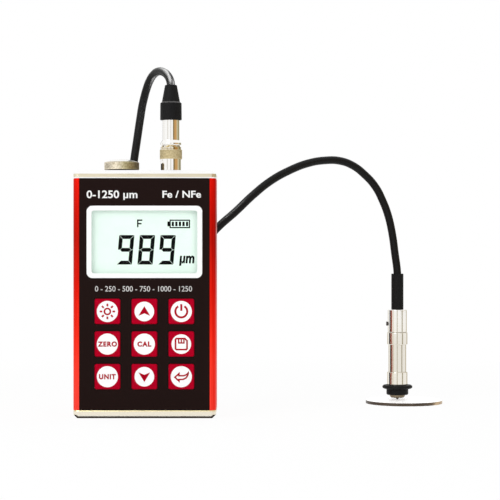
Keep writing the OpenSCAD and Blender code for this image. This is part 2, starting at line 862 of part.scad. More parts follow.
module cap_contact() {
  color("gold") at_battery() {
    translate([0, 0, contact_bottom]) cylinder(h = contact_t, r = contact_r);
    translate([0, 0, contact_bottom]) cylinder(h = contact_t + rivet_len - fit, r = rivet_r);
  }
}

module cap_seal() {
  color("#222222") at_battery() rotate_extrude()
    translate([seal_r, (tube_neck_top + cap_bottom) / 2]) circle(seal_wire_r, $fn = 24);
}

// Two leads from the foot of the battery tube to their header on the board
module battery_leads() {
  out_x = tube_r + tube_wall - battery_x;
  y = board_back_y + battery_header[4] / 2;
  header_z = battery_header[1] - battery_header[3] / 2;
  color("red") for (i = [0, 1]) {
    x = battery_header[0] + (1 - 2 * i) * battery_header[2] / 4;
    z = lead_hole_z[i];
    tube([[-battery_x + lead_bend, axis_y, z], [out_x + lead_bend, axis_y, z],
      [x - lead_bend / 2, axis_y - lead_bend / 2, z], [x, axis_y - 2 * lead_bend, z + lead_bend / 4],
      [x, y, header_z - lead_bend], [x, y, header_z]], lead_d, lead_sides);
  }
}

module probe_socket() {
  flange_z = body_h - socket_flange_sink;
  color("lightgray") at_plug() {
    rotate_extrude() polygon([
      [socket_bore_r, socket_bottom], [socket_shank_r, socket_bottom], [socket_shank_r, flange_z],
      [socket_flange_r, flange_z], [socket_flange_r, socket_flange_top], [socket_barrel_r, socket_flange_top],
      [socket_barrel_r, socket_top], [socket_bore_r, socket_top]]);
    for (k = [0, 180]) rotate(slot_angle + slot_turn + k) translate([socket_barrel_r - lug_root, 0, lug_z])
      rotate([0, 90, 0]) cylinder(h = lug_reach + lug_root, r = lug_r);
  }
}

module socket_insert() {
  color("#222222") at_plug() difference() {
    translate([0, 0, socket_bottom]) cylinder(h = socket_insert_top - socket_bottom, r = socket_bore_r - fit);
    at_pins() translate([0, 0, pin_bottom]) cylinder(h = body_h, r = pin_r + fit);
  }
}

module socket_nut() {
  color("silver") at_plug() translate([0, 0, housing_top - nut_h]) difference() {
    cylinder(h = nut_h, d = nut_across / cos(30), $fn = 6);
    translate([0, 0, -past]) cylinder(h = nut_h + 2 * past, r = socket_shank_r + fit);
  }
}

// Leads from the socket's pins down to their header on the board, sorted so that none cross
module socket_leads() {
  pin_order = [2, 3, 4, 1, 0];
  pitch = 2;
  straight = [0, 0, 4];
  y = board_back_y + probe_header[4] / 2;
  header_z = probe_header[1] + probe_header[3] / 2;
  color("steelblue") for (i = [0:pin_count - 1]) {
    a = 360 * pin_order[i] / pin_count;
    from = [plug_x + pin_ring_r * cos(a), axis_y + pin_ring_r * sin(a), socket_bottom];
    to = [probe_header[0] + (i - (pin_count - 1) / 2) * pitch, y, header_z];
    tube([from, from - straight, (from + to) / 2, to + straight, to], lead_d, lead_sides);
  }
}

module plug_barrel() {
  r = plug_barrel_d / 2;
  color("silver") at_plug() rotate_extrude() polygon([
    [insert_r, plug_sleeve_bottom], [plug_sleeve_r, plug_sleeve_bottom], [plug_sleeve_r, clip_z - clip_land],
    [neck_r, clip_z - clip_land], [neck_r, clip_z], [clip_groove_r, clip_z], [clip_groove_r, clip_z + clip_t],
    [neck_r, clip_z + clip_t], [neck_r, shoulder_z], [shoulder_r, shoulder_z], [r, barrel_z],
    [r, boot_z], [tail_r, boot_z], [tail_r, boot_z + tail_len], [cord_bore_r, boot_z + tail_len],
    [cord_bore_r, insert_top], [insert_r, insert_top]]);
}

module plug_insert() {
  color("#222222") at_plug() difference() {
    translate([0, 0, plug_sleeve_bottom]) cylinder(h = insert_top - plug_sleeve_bottom, r = insert_r - fit);
    at_pins() translate([0, 0, plug_sleeve_bottom - past])
      cylinder(h = pin_top - plug_sleeve_bottom + past, r = pin_r + fit);
  }
}

module plug_pins() {
  color("gold") at_plug() at_pins() translate([0, 0, pin_bottom])
    cylinder(h = pin_top - pin_bottom, r = pin_r);
}

module plug_circlip() {
  color("gray") at_plug() difference() {
    translate([0, 0, clip_z + fit]) cylinder(h = clip_t - 2 * fit, r = clip_r);
    translate([0, 0, clip_z - past]) cylinder(h = clip_t + 2 * past, r = clip_groove_r + fit);
    translate([0, -clip_opening / 2, clip_z - past]) cube([clip_r + past, clip_opening, clip_t + 2 * past]);
  }
}

// Bayonet slots: an entry notch through the skirt and a groove inside it that the lugs run along
module bayonet_slots() {
  inner = ring_bore_r - slot_overlap;
  for (k = [0, 180]) rotate(slot_angle + k) {
    translate([inner, -slot_w / 2, ring_bottom - past])
      cube([ring_d / 2, slot_w, slot_z + slot_w - ring_bottom + past]);
    rotate_extrude(angle = slot_turn + lug_angle) translate([inner, slot_z])
      square([slot_overlap + slot_depth, slot_w]);
  }
}

module coupling_ring() {
  r = ring_d / 2;
  color("lightgray") at_plug() difference() {
    union() {
      translate([0, 0, ring_bottom]) cylinder(h = ring_top + ring_rim_h - ring_bottom, r = r);
      knurled_band(ring_grip_d, ring_band_bottom, ring_band_top, ring_knurls);
    }
    translate([0, 0, ring_bottom - past]) cylinder(h = ring_roof - ring_bottom + past, r = ring_bore_r);
    translate([0, 0, ring_roof - past]) cylinder(h = ring_top - ring_roof + 2 * past, r = neck_r + fit);
    translate([0, 0, ring_top]) cylinder(h = ring_rim_h + past, r = r - ring_rim_wall);
    bayonet_slots();
  }
}

// Wavy washer that pushes the coupling ring down from the shoulder
module ring_spring() {
  mid = (ring_top + shoulder_z) / 2;
  swing = (wave_room - wave_t) / 2 - tip_gap;
  inner = neck_r + fit;
  half = wave_t / 2;
  section = [[inner, -half], [inner, half], [wave_r, half], [wave_r, -half]];
  color("silver") at_plug() skin([for (i = [0:wave_steps - 1])
    let (a = 360 * i / wave_steps, z = mid + swing * sin(wave_count * a))
    [for (p = section) [p[0] * cos(a), p[0] * sin(a), z + p[1]]]], looped = true);
}

module plug_boot() {
  r = boot_d / 2;
  color("#1a1a1a") at_plug() rotate_extrude() polygon([
    [tail_r + fit, boot_z], [r, boot_z], [r, boot_step - boot_soft], [r - boot_soft, boot_step],
    [boot_tail_r, boot_step], [boot_end_r, boot_top - boot_soft], [boot_end_r - boot_soft, boot_top],
    [cord_bore_r, boot_top], [cord_bore_r, boot_z + tail_len + fit],
    [tail_r + fit, boot_z + tail_len + fit]]);
}

module probe_cord() {
  color("#151515") tube(cord_route, cord_d, cord_sides);
}

module probe_sleeve() {
  r = sleeve_d / 2;
  color("#1a1a1a") at_probe() rotate_extrude() polygon([
    [cord_bore_r, probe_cap_top], [r, probe_cap_top], [r, sleeve_top - sleeve_soft],
    [r - sleeve_soft, sleeve_top], [cord_bore_r, sleeve_top]]);
}

module probe_cap() {
  r = probe_cap_d / 2;
  color("silver") difference() {
    at_probe() rotate_extrude() polygon([
      [probe_lead_r, probe_neck_top], [probe_bore_r, probe_neck_top], [probe_bore_r, probe_cap_z],
      [r - edge_soft, probe_cap_z], [r, probe_cap_z + edge_soft], [r, probe_cap_top - 2 * edge_soft],
      [r - 2 * edge_soft, probe_cap_top], [cord_bore_r, probe_cap_top], [cord_bore_r, cord_end],
      [probe_lead_r, cord_end]]);
    at_probe() translate([-r - past, 0, set_screw_z]) rotate([0, 90, 0])
      cylinder(h = r + past - set_screw_end + fit, r = set_screw_r + fit);
  }
}

module probe_set_screw() {
  r = probe_cap_d / 2;
  color("gray") at_probe() translate([0, 0, set_screw_z]) rotate([0, -90, 0]) difference() {
    union() {
      translate([0, 0, set_screw_end]) cylinder(h = r - set_screw_end, r = set_screw_r);
      translate([0, 0, r]) cylinder(h = set_screw_head_h, r = set_screw_head_r);
    }
    translate([-set_screw_head_r, -set_screw_slot / 2, r + set_screw_head_h / 2])
      cube([2 * set_screw_head_r, set_screw_slot, set_screw_head_h]);
  }
}

// Turned ring with softened outer edges
module turned_ring(d, bore_r, z0, z1) {
  r = d / 2;
  rotate_extrude() polygon([
    [bore_r, z0], [r - edge_soft, z0], [r, z0 + edge_soft],
    [r, z1 - edge_soft], [r - edge_soft, z1], [bore_r, z1]]);
}

module probe_lock_ring() {
  color("silver") at_probe() turned_ring(probe_ring_d, probe_neck_r + fit, barrel_top, probe_cap_z);
}

module probe_barrel() {
  r = probe_d / 2;
  color("silver") at_probe() rotate_extrude() polygon([
    [probe_bore_r, foot_top], [r - edge_soft, foot_top], [r, foot_top + edge_soft], [r, barrel_top],
    [probe_neck_r, barrel_top], [probe_neck_r, probe_neck_top], [probe_bore_r, probe_neck_top]]);
}

module probe_foot() {
  color("silver") at_probe() turned_ring(probe_foot_d, probe_bore_r, foot_z, foot_top);
}

module probe_collar() {
  r = collar_d / 2;
  bore = plunger_r + plunger_gap;
  color("#1a1a1a") at_probe() rotate_extrude() polygon([
    [bore, collar_bottom], [collar_foot_r - collar_bevel, collar_bottom],
    [collar_foot_r, collar_bottom + collar_bevel], [collar_foot_r, collar_brim_z - brim_flare],
    [r - brim_edge, collar_brim_z - brim_lower], [r, collar_brim_z],
    [r - brim_edge, collar_brim_z + brim_upper], [probe_foot_d / 2, collar_top],
    [probe_bore_r - fit, collar_top], [probe_bore_r - fit, collar_spigot_top], [bore, collar_spigot_top]]);
}

module probe_plunger() {
  inner = plunger_r - plunger_wall;
  color("lightgray") at_probe() rotate_extrude() polygon([
    [tip_r + fit, nose_bottom], [plunger_r - nose_bevel, nose_bottom], [plunger_r, nose_bottom + nose_bevel],
    [plunger_r, plunger_stop_z], [plunger_stop_r, plunger_stop_z],
    [plunger_stop_r, plunger_stop_z + plunger_stop_t], [plunger_r, plunger_stop_z + plunger_stop_t],
    [plunger_r, plunger_top], [inner, plunger_top],
    [inner, core_bottom], [tip_r + fit, core_bottom]]);
}

module probe_tip() {
  color("gold") at_probe() rotate_extrude() difference() {
    union() {
      translate([0, tip_bottom + tip_r]) circle(tip_r, $fn = 32);
      translate([0, tip_bottom + tip_r]) square([tip_r, core_bottom - tip_bottom - tip_r]);
    }
    translate([-past, tip_bottom - past]) square([past, core_bottom]);
  }
}

module probe_core() {
  color("dimgray") at_probe() translate([0, 0, core_bottom]) cylinder(h = core_len, r = core_r);
}

module probe_coil() {
  bottom = core_bottom + fit;
  top = core_bottom + core_len - coil_inset;
  wound_r = coil_r - coil_flange;
  color("peru") at_probe() rotate_extrude() polygon([
    [core_r + fit, bottom], [coil_r, bottom], [coil_r, bottom + coil_flange_t],
    [wound_r, bottom + coil_flange_t], [wound_r, top - coil_flange_t],
    [coil_r, top - coil_flange_t], [coil_r, top], [core_r + fit, top]]);
}

module probe_spring() {
  half = probe_spring_wire / 2 + tip_gap;
  turns = helix(probe_spring_r, plunger_top + half, probe_neck_top - half, probe_spring_turns, spring_steps);
  color("silver") at_probe() tube(turns, probe_spring_wire, spring_sides);
}

module zero_plate() {
  r = zero_plate_d / 2;
  soft = zero_plate_soft;
  color("silver") at_probe() translate([zero_plate_right, -zero_plate_front, 0]) rotate_extrude() polygon([
    [0, 0], [r - soft, 0], [r, soft], [r, zero_plate_t - soft], [r - soft, zero_plate_t], [0, zero_plate_t]]);
}

housing();
top_plate();
bottom_plate();
top_plate_screws();
bottom_plate_screws();
front_panel();
display_frame();
display_window();
lcd_glass();
lcd_backlight();
lcd_connectors();
main_board();
board_standoffs();
board_screws();
board_components();
key_light();
key_up();
key_power();
key_zero();
key_cal();
key_save();
key_unit();
key_down();
key_enter();
key_switches();
battery_tube();
battery_base();
battery_base_contact();
battery_cells();
battery_spring();
battery_cap();
cap_contact();
cap_seal();
battery_leads();
probe_socket();
socket_insert();
socket_nut();
socket_leads();
plug_barrel();
plug_insert();
plug_pins();
plug_circlip();
coupling_ring();
ring_spring();
plug_boot();
probe_cord();
probe_sleeve();
probe_cap();
probe_set_screw();
probe_lock_ring();
probe_barrel();
probe_foot();
probe_collar();
probe_plunger();
probe_tip();
probe_core();
probe_coil();
probe_spring();
zero_plate();
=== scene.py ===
import math

import bmesh
import bpy
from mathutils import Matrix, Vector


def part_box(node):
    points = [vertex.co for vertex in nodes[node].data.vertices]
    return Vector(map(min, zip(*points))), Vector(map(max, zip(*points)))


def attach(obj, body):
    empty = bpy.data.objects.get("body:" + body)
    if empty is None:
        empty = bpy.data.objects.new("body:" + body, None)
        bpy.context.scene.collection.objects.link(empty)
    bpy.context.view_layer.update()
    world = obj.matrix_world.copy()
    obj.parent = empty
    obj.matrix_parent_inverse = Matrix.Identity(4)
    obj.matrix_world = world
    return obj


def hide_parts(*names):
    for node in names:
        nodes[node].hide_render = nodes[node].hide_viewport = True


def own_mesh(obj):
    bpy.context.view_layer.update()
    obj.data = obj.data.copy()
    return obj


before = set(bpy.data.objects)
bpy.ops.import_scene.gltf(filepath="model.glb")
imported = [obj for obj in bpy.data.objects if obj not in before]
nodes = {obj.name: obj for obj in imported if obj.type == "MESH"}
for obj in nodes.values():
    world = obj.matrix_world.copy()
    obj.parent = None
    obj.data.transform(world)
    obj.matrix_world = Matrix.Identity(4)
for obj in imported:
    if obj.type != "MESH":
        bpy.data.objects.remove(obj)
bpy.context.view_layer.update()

bpy.ops.object.select_all(action="DESELECT")

# The studio: the camera stands level with the gauge's middle and looks square at its front.
# The floor and the room are white, and the floor keeps a soft shadow round the gauge and the disc.
scene = bpy.context.scene
scene.view_settings.view_transform = "Standard"
camera_place = (0.05604, -0.915, 0.0895)
bpy.ops.object.camera_add(location=camera_place, rotation=(math.pi / 2, 0, 0))
camera = bpy.context.object
camera.data.sensor_width = 36
camera.data.lens = 122.1
scene.camera = camera


def add_node(tree, kind, inputs=None, **settings):
    """Adds a shader node. Each input named gets a value, or a link where a socket is given."""
    node = tree.nodes.new("ShaderNode" + kind)
    for name, value in settings.items():
        setattr(node, name, value)
    for inlet, value in (inputs or {}).items():
        if isinstance(value, bpy.types.NodeSocket):
            tree.links.new(value, node.inputs[inlet])
        else:
            node.inputs[inlet].default_value = value
    return node


def calculate(tree, operation, *values):
    """Adds a node that works a number out, and gives its result."""
    return add_node(tree, "Math", dict(enumerate(values)), operation=operation).outputs["Value"]


def blank_tree(owner):
    """Clears the nodes of a new world or material."""
    owner.use_nodes = True
    owner.node_tree.nodes.clear()
    return owner.node_tree


def ray_kinds(tree):
    """Tells the camera's own rays, and those that metal or glass sends on."""
    rays = add_node(tree, "LightPath").outputs
    return rays["Is Camera Ray"], calculate(tree, "ADD", rays["Is Glossy Ray"], rays["Is Transmission Ray"])


room = bpy.data.worlds.new("white_room")
scene.world = room
tree = blank_tree(room)
direct, mirrored = ray_kinds(tree)
place = add_node(tree, "TexCoord").outputs["Generated"]
around = add_node(tree, "TexGradient", {"Vector": place}, gradient_type="RADIAL")
walls = add_node(tree, "ValToRGB", {"Fac": around.outputs["Fac"]})
wall_white, wall_stripe = (1, 1, 1, 1), (0.30, 0.24, 0.13, 1)
wall_brown, wall_gold = (0.27, 0.19, 0.075, 1), (0.58, 0.33, 0.125, 1)
wall_straw, wall_olive = (0.62, 0.56, 0.37, 1), (0.34, 0.30, 0.17, 1)
for end in walls.color_ramp.elements:
    end.color = wall_white
stripe_half, seam = 0.012, 0.001
for middle in (0.14, 0.254, 0.961):
    for turn, colour in ((-stripe_half, wall_white), (0, wall_stripe), (stripe_half, wall_white)):
        walls.color_ramp.elements.new(middle + turn).color = colour
hangings = [
    (0.329, wall_white), (0.382, wall_brown), (0.478, wall_gold), (0.528, wall_straw), (0.65, wall_olive)]
for (edge, before), (_, after) in zip(hangings, hangings[1:] + [(1, wall_white)]):
    walls.color_ramp.elements.new(edge - seam).color = before
    walls.color_ramp.elements.new(edge + seam).color = after
room_light, wall_top, ceiling_edge = 0.45, 0.3, 0.4
ambient, mirror_room, backdrop = [
    add_node(tree, "Background", {"Color": colour, "Strength": strength}).outputs[0]
    for colour, strength in ((wall_white, room_light), (walls.outputs["Color"], 1), (wall_white, 1))]
height = add_node(tree, "SeparateXYZ", {"Vector": place}).outputs["Z"]
ceiling = add_node(tree, "MapRange", {"Value": height, "From Min": wall_top, "From Max": ceiling_edge})
indoors = add_node(tree, "MixShader", {0: ceiling.outputs["Result"], 1: mirror_room, 2: backdrop})
indirect = add_node(tree, "MixShader", {0: mirrored, 1: ambient, 2: indoors.outputs[0]})
choice = add_node(tree, "MixShader", {0: direct, 1: indirect.outputs[0], 2: backdrop})
add_node(tree, "OutputWorld", {0: choice.outputs[0]})

floor_r, floor_place = 3, (0.06, 0.02, -0.00005)
shade_from, shade_to, shade_least = 0.22, 0.5, 0.93
bpy.ops.mesh.primitive_circle_add(vertices=128, radius=floor_r, fill_type="NGON", location=floor_place)
floor = bpy.context.object
floor.name = "floor"
floor_paint = bpy.data.materials.new("white_floor")
tree = blank_tree(floor_paint)
place = add_node(tree, "TexCoord").outputs["Object"]
reach = add_node(tree, "VectorMath", {0: place}, operation="LENGTH")
fade = add_node(tree, "MapRange", {
    "Value": reach.outputs["Value"], "From Min": shade_from, "From Max": shade_to, "To Min": shade_least})
direct, mirrored = ray_kinds(tree)
share = calculate(tree, "ADD", calculate(tree, "MULTIPLY", fade.outputs["Result"], direct), mirrored)
matt = add_node(tree, "BsdfDiffuse", {"Color": (0.92, 0.92, 0.92, 1)})
glow = add_node(tree, "Emission")
choice = add_node(tree, "MixShader", {0: share, 1: matt.outputs[0], 2: glow.outputs[0]})
add_node(tree, "OutputMaterial", {0: choice.outputs[0]})
floor.data.materials.append(floor_paint)


def area_lamp(name, spot, size, power, turn):
    """Hangs a square lamp in its place."""
    bpy.ops.object.light_add(type="AREA", location=spot, rotation=turn)
    lamp = bpy.context.object
    lamp.name = name
    lamp.data.size = size
    lamp.data.energy = power
    return lamp


aim = (0.05, 0, 0.08)
softboxes = [
    ("key_softbox", (-0.55, -0.8, 0.7), 0.7, 5, True),
    ("fill_softbox", (0.7, -0.85, 0.35), 0.6, 2.6, False),
    ("top_softbox", (0.05, 0.1, 0.95), 0.9, 3.8, False),
]
for name, spot, size, power, in_mirrors in softboxes:
    across = [a - s for a, s in zip(aim, spot)]
    turn = math.atan2(across[1], across[0]) - math.pi / 2
    tilt = math.atan2(math.hypot(across[0], across[1]), -across[2])
    area_lamp(name, spot, size, power, (tilt, 0, turn)).visible_glossy = in_mirrors

# Coloured cards for the polished metal alone. Dark, red and beige ones stand round the probe, each at
# its bearing from the axis, seen from above, and a dark one lies under the gauge for the lower bevel.
probe_axis = (0.1425, 0.08, 0.035)
near, wide, card_h = 0.08, 0.1, 0.1
bearings = [
    ("left_edge_card", wide, -150, 9, (0.55, 0.48, 0.34)),
    ("dark_card", wide, -101, 10, (0.04, 0.035, 0.04)),
    ("dark_red_card", wide, -80, 9.5, (0.27, 0.065, 0.03)),
    ("white_card", wide, -54.5, 12.5, (0.98, 0.97, 0.94)),
    ("beige_card", near, -55, 3.5, (0.60, 0.54, 0.40)),
    ("front_card", near, -7, 4, (0.50, 0.46, 0.35)),
    ("right_card", near, 53, 7, (0.45, 0.42, 0.33)),
    ("right_edge_card", near, 129, 13, (0.58, 0.52, 0.40)),
]
cards = [("shadow_card", (0, 0, 0.00005), (0.079, 0.0282), 0, 0, (0.03, 0.02, 0.015))]
for name, reach, bearing, half, colour in bearings:
    a = math.radians(bearing)
    spot = (probe_axis[0] + reach * math.sin(a), probe_axis[1] - reach * math.cos(a), probe_axis[2])
    size = (2 * reach * math.tan(math.radians(half)), card_h)
    cards.append((name, spot, size, math.pi / 2, bearing, colour))
for name, spot, size, tilt, turn, colour in cards:
    bpy.ops.mesh.primitive_plane_add(size=1, location=spot, rotation=(tilt, 0, math.radians(turn)))
    card = bpy.context.object
    card.name = name
    card.scale = (*size, 1)
    card.visible_camera = False
    card.visible_diffuse = False
    card.visible_shadow = False
    card.visible_transmission = False
    paint = bpy.data.materials.new(name)
    tree = blank_tree(paint)
    glow = add_node(tree, "Emission", {"Color": (*colour, 1)})
    add_node(tree, "OutputMaterial", {0: glow.outputs[0]})
    card.data.materials.append(paint)

# The housing is one length of extruded aluminium, anodised bright red, with fine lines along it.
# Its front is cut back for the panel, so that only a strip of it shows on each side. The openings
# were milled after the anodising, and their edges are bare.


def new_finish(
        name, tones, metallic, rough, stretch, bump, specular=0.5, alpha=1.0, glow=(1, 1, 1), power=0.0):
    """Makes a finish whose tone, gloss and fine bump follow a grain stretched along the work."""
    material = bpy.data.materials.new(name)
    material.use_nodes = True
    tree = material.node_tree
    place = add_node(tree, "TexCoord").outputs["Object"]
    spread = add_node(tree, "Mapping", {"Vector": place, "Scale": stretch})
    grain = add_node(tree, "TexNoise", {"Vector": spread.outputs["Vector"], "Scale": 1, "Detail": 3})
    height = grain.outputs["Fac"]
    dips, tops = 0.3, 0.7
    tone = add_node(tree, "ValToRGB", {"Fac": height})
    for end, spot, colour in zip(tone.color_ramp.elements, (dips, tops), tones):
        end.position = spot
        end.color = (*colour, 1)
    gloss = add_node(tree, "MapRange", {
        "Value": height, "From Min": dips, "From Max": tops, "To Min": rough[0], "To Max": rough[1]})
    relief = add_node(tree, "Bump", {"Height": height, "Strength": bump[0], "Distance": bump[1]})
    sockets = tree.nodes["Principled BSDF"].inputs
    sockets["Metallic"].default_value = metallic
    sockets["Specular IOR Level"].default_value = specular
    sockets["Alpha"].default_value = alpha
    sockets["Emission Color"].default_value = (*glow, 1)
    sockets["Emission Strength"].default_value = power
    tree.links.new(tone.outputs["Color"], sockets["Base Color"])
    tree.links.new(gloss.outputs["Result"], sockets["Roughness"])
    tree.links.new(relief.outputs["Normal"], sockets["Normal"])
    return material


def dress(material, *names):
    """Gives CAD nodes their finish."""
    for name in names:
        nodes[name].data.materials.clear()
        nodes[name].data.materials.append(material)


def multiply_tone(tree, factor, inlet):
    """Multiplies what feeds a colour socket of the shader by another node's output."""
    socket = tree.nodes["Principled BSDF"].inputs[inlet]
    before = socket.links[0].from_socket if socket.is_linked else socket.default_value[:3]
    product = add_node(tree, "VectorMath", {0: before, 1: factor}, operation="MULTIPLY")
    tree.links.new(product.outputs["Vector"], socket)


def object_place(tree):
    """The three parts of a point's place on the object."""
    place = add_node(tree, "TexCoord").outputs["Object"]
    return add_node(tree, "SeparateXYZ", {"Vector": place}).outputs


def tint_along(material, axis, stops):
    """Shades a finish along an axis of the object, by colours set at places in metres."""
    tree = material.node_tree
    start, end = stops[0][0], stops[-1][0]
    span = add_node(tree, "MapRange", {
        "Value": object_place(tree)[axis], "From Min": start, "From Max": end})
    ramp = add_node(tree, "ValToRGB", {"Fac": span.outputs["Result"]})
    ramp.color_ramp.elements[0].color = (*stops[0][1], 1)
    ramp.color_ramp.elements[1].color = (*stops[-1][1], 1)
    for spot, colour in stops[1:-1]:
        ramp.color_ramp.elements.new((spot - start) / (end - start)).color = (*colour, 1)
    multiply_tone(tree, ramp.outputs["Color"], "Base Color")


def bare_inside(material, colour, *spans):
    """Gives a finish another colour inside a box, set by its middle and half width along some axes."""
    tree = material.node_tree
    socket = tree.nodes["Principled BSDF"].inputs["Base Color"]
    place = object_place(tree)
    inside = 1
    for axis, middle, half in spans:
        within = calculate(tree, "COMPARE", place[axis], middle, half)
        inside = calculate(tree, "MULTIPLY", inside, within)
    blend = add_node(tree, "MixRGB", {
        "Fac": inside, "Color1": socket.links[0].from_socket, "Color2": (*colour, 1)})
    tree.links.new(blend.outputs["Color"], socket)


red_anodised = new_finish(
    "red_anodised", ((0.80, 0.022, 0.012), (0.93, 0.05, 0.026)), 0.75, (0.34, 0.44), (2600, 2600, 30),
    (0.12, 0.00003), specular=0.05)
# Painted light and shade: the red is painted lighter at the foot and darker up the middle and top.
tint_along(red_anodised, "Z", [
    (0.007, (1.1, 1.6, 2.1)), (0.042, (1.07, 0.95, 0.85)), (0.068, (0.84, 0.34, 0.26)),
    (0.095, (0.57, 0.23, 0.2)), (0.108, (0.65, 0.21, 0.15)), (0.128, (0.86, 0.3, 0.27))])
# Painted shade: the red darkens towards the right strip's rounded corner.
tint_along(red_anodised, "X", [
    (-0.038, (1, 1, 1)), (0.0346, (1.1, 1.0, 0.94)), (0.0362, (1.02, 0.74, 0.66)), (0.038, (0.95, 0.5, 0.4))])
panel_low, panel_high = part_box("front_panel")
wall_back, side_strip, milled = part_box("lcd_glass")[1].y, 0.001, (0.86, 0.88, 0.86)
bare_inside(
    red_anodised, milled, ("X", 0, panel_high.x - side_strip),
    ("Y", (panel_low.y + wall_back) / 2, (wall_back - panel_low.y) / 2))
dress(red_anodised, "housing")

# The two end plates are milled from aluminium, nickel plated and brushed along their length.
# A wide bevel runs round their outer edge, and four countersunk screws hold each to the housing.
plate_nickel = new_finish(
    "plate_nickel", ((0.93, 0.91, 0.86), (0.99, 0.98, 0.95)), 1, (0.24, 0.36), (60, 2600, 2600),
    (0.15, 0.00003))
low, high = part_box("top_plate")
seam_h, bevel_h, blend_h = 0.0007, 0.002, 0.0001
bare, painted_glint, brushed_and_painted_reflection = (1, 1, 1), (1.1, 1.1, 1.1), (0.82, 0.76, 0.60)
# Painted highlight on the bevel and seam; the face's beige is partly brushing, partly painted reflection.
tint_along(plate_nickel, "Z", [
    (low.z, painted_glint), (low.z + seam_h, painted_glint), (low.z + seam_h + blend_h, brushed_and_painted_reflection),
    (high.z - bevel_h, brushed_and_painted_reflection), (high.z - bevel_h + blend_h, painted_glint), (high.z, painted_glint)])
dress(plate_nickel, "top_plate")
base_nickel = new_finish(
    "base_nickel", ((0.92, 0.90, 0.86), (0.98, 0.97, 0.94)), 1, (0.2, 0.3), (60, 2600, 2600),
    (0.12, 0.00003))
low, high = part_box("bottom_plate")
face_painted_reflection, seam_painted_reflection = (0.92, 0.87, 0.75), (0.82, 0.72, 0.44)
# Painted reflection: a warm beige on the face and bevel, and a gold line along the top seam.
tint_along(base_nickel, "Z", [
    (low.z, bare), (low.z + bevel_h, face_painted_reflection), (high.z - seam_h - blend_h, face_painted_reflection), (high.z - seam_h, seam_painted_reflection),
    (high.z, seam_painted_reflection)])
dress(base_nickel, "bottom_plate")
screw_steel = new_finish(
    "screw_steel", ((0.42, 0.41, 0.39), (0.58, 0.57, 0.54)), 1, (0.25, 0.4), (900, 900, 900),
    (0.1, 0.00004))
dress(screw_steel, "top_plate_screws", "bottom_plate_screws", "board_screws", "plug_circlip")

# The front panel is a thin sheet, lacquered a warm black with a fine grain.
# It is stuck into the housing's front, with a dark hairline all round where it ends.


def shade_edge(material, low, high, rim, dark, *inlets):
    """Darkens a finish towards the edge of an upright rectangle."""
    tree = material.node_tree
    place = object_place(tree)
    inward = []
    for axis, a, b in (("X", low[0], high[0]), ("Z", low[1], high[1])):
        off = calculate(tree, "ABSOLUTE", calculate(tree, "SUBTRACT", place[axis], (a + b) / 2))
        inward.append(calculate(tree, "SUBTRACT", (b - a) / 2, off))
    nearest = calculate(tree, "MINIMUM", *inward)
    depth = add_node(tree, "MapRange", {"Value": nearest, "From Max": rim, "To Min": dark})
    for inlet in inlets:
        multiply_tone(tree, depth.outputs["Result"], inlet)


panel_black = new_finish(
    "panel_black", ((0.0080, 0.0025, 0.0019), (0.0114, 0.0044, 0.0035)), 0, (0.5, 0.62),
    (2400, 2400, 2400), (0.12, 0.00003), specular=0.07)
low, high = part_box("front_panel")
hairline, hairline_dark = 0.0005, 0.1
shade_edge(panel_black, (low.x, low.z), (high.x, high.z), hairline, hairline_dark, "Base Color")
dress(panel_black, "front_panel")

# The display has a white moulded frame set into the panel, a clear pane, and the liquid crystal glass
# on its light guide. The glass is pale mint with a faint painted glow. A soft painted shade darkens its
# edge below the frame's inner wall, and that wall is painted grey as shade.
frame_white = new_finish(
    "frame_white", ((0.95, 0.955, 0.95), (0.98, 0.985, 0.98)), 0, (0.3, 0.4), (700, 700, 700),
    (0.05, 0.00003))
low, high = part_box("display_frame")
lip, wall_painted_shade, wall_painted_soft_shade = 0.00022, (0.36, 0.39, 0.38), (0.9, 0.93, 0.91)
# Painted shade: grey on the frame's inner wall, behind its white front lip.
tint_along(frame_white, "Y", [
    (low.y, bare), (low.y + 0.8 * lip, bare), (low.y + lip, wall_painted_shade), (low.y + 3 * lip, wall_painted_soft_shade),
    (high.y, wall_painted_soft_shade)])
dress(frame_white, "display_frame")
pane_clear = new_finish(
    "pane_clear", ((0.01, 0.012, 0.012), (0.02, 0.022, 0.022)), 0, (0.03, 0.06), (300, 300, 300),
    (0.01, 0.00002), alpha=0.03)
dress(pane_clear, "display_window")
lcd_mint = new_finish(
    "lcd_mint", ((0.79, 0.95, 0.86), (0.83, 0.99, 0.90)), 0, (0.35, 0.42), (90, 90, 90),
    (0.02, 0.00002), specular=0.2, glow=(0.84, 1.0, 0.91), power=0.16)
frame_side, frame_end, shade_w, shade_dark = 0.0025, 0.0025, 0.0006, 0.92
shade_edge(
    lcd_mint, (low.x + frame_side, low.z + frame_end), (high.x - frame_side, high.z - frame_end),
    shade_w, shade_dark, "Base Color", "Emission Color")
dress(lcd_mint, "lcd_glass")

# The dark figures on the glass: a reading of three slanted digits with its unit, a letter for the
# probe's principle and a battery sign. Each is a thin film of crystal on the glass.
print_depth = 0.00003


def start_layer(name):
    """Opens an empty piece in edit mode, ready to be drawn on."""
    bpy.ops.object.select_all(action="DESELECT")
    bpy.ops.object.add(type="MESH")
    piece = bpy.context.object
    piece.name = name
    piece.data.name = name
    bpy.ops.object.mode_set(mode="EDIT")
    return piece


def draw(points, y, line=None):
    """Adds a flat outline of (x, z) points to the layer, filled, or as a line of the given width."""
    bpy.ops.mesh.select_all(action="DESELECT")
    bpy.ops.mesh.primitive_circle_add(vertices=len(points), fill_type="NGON")
    drawn = bmesh.from_edit_mesh(bpy.context.object.data)
    for vertex, (x, z) in zip([v for v in drawn.verts if v.select], points):
        vertex.co = (x, y, z)
    drawn.normal_update()
    bmesh.update_edit_mesh(bpy.context.object.data)
    if line:
        bpy.ops.mesh.inset(thickness=line)
        bpy.ops.mesh.delete(type="FACE")


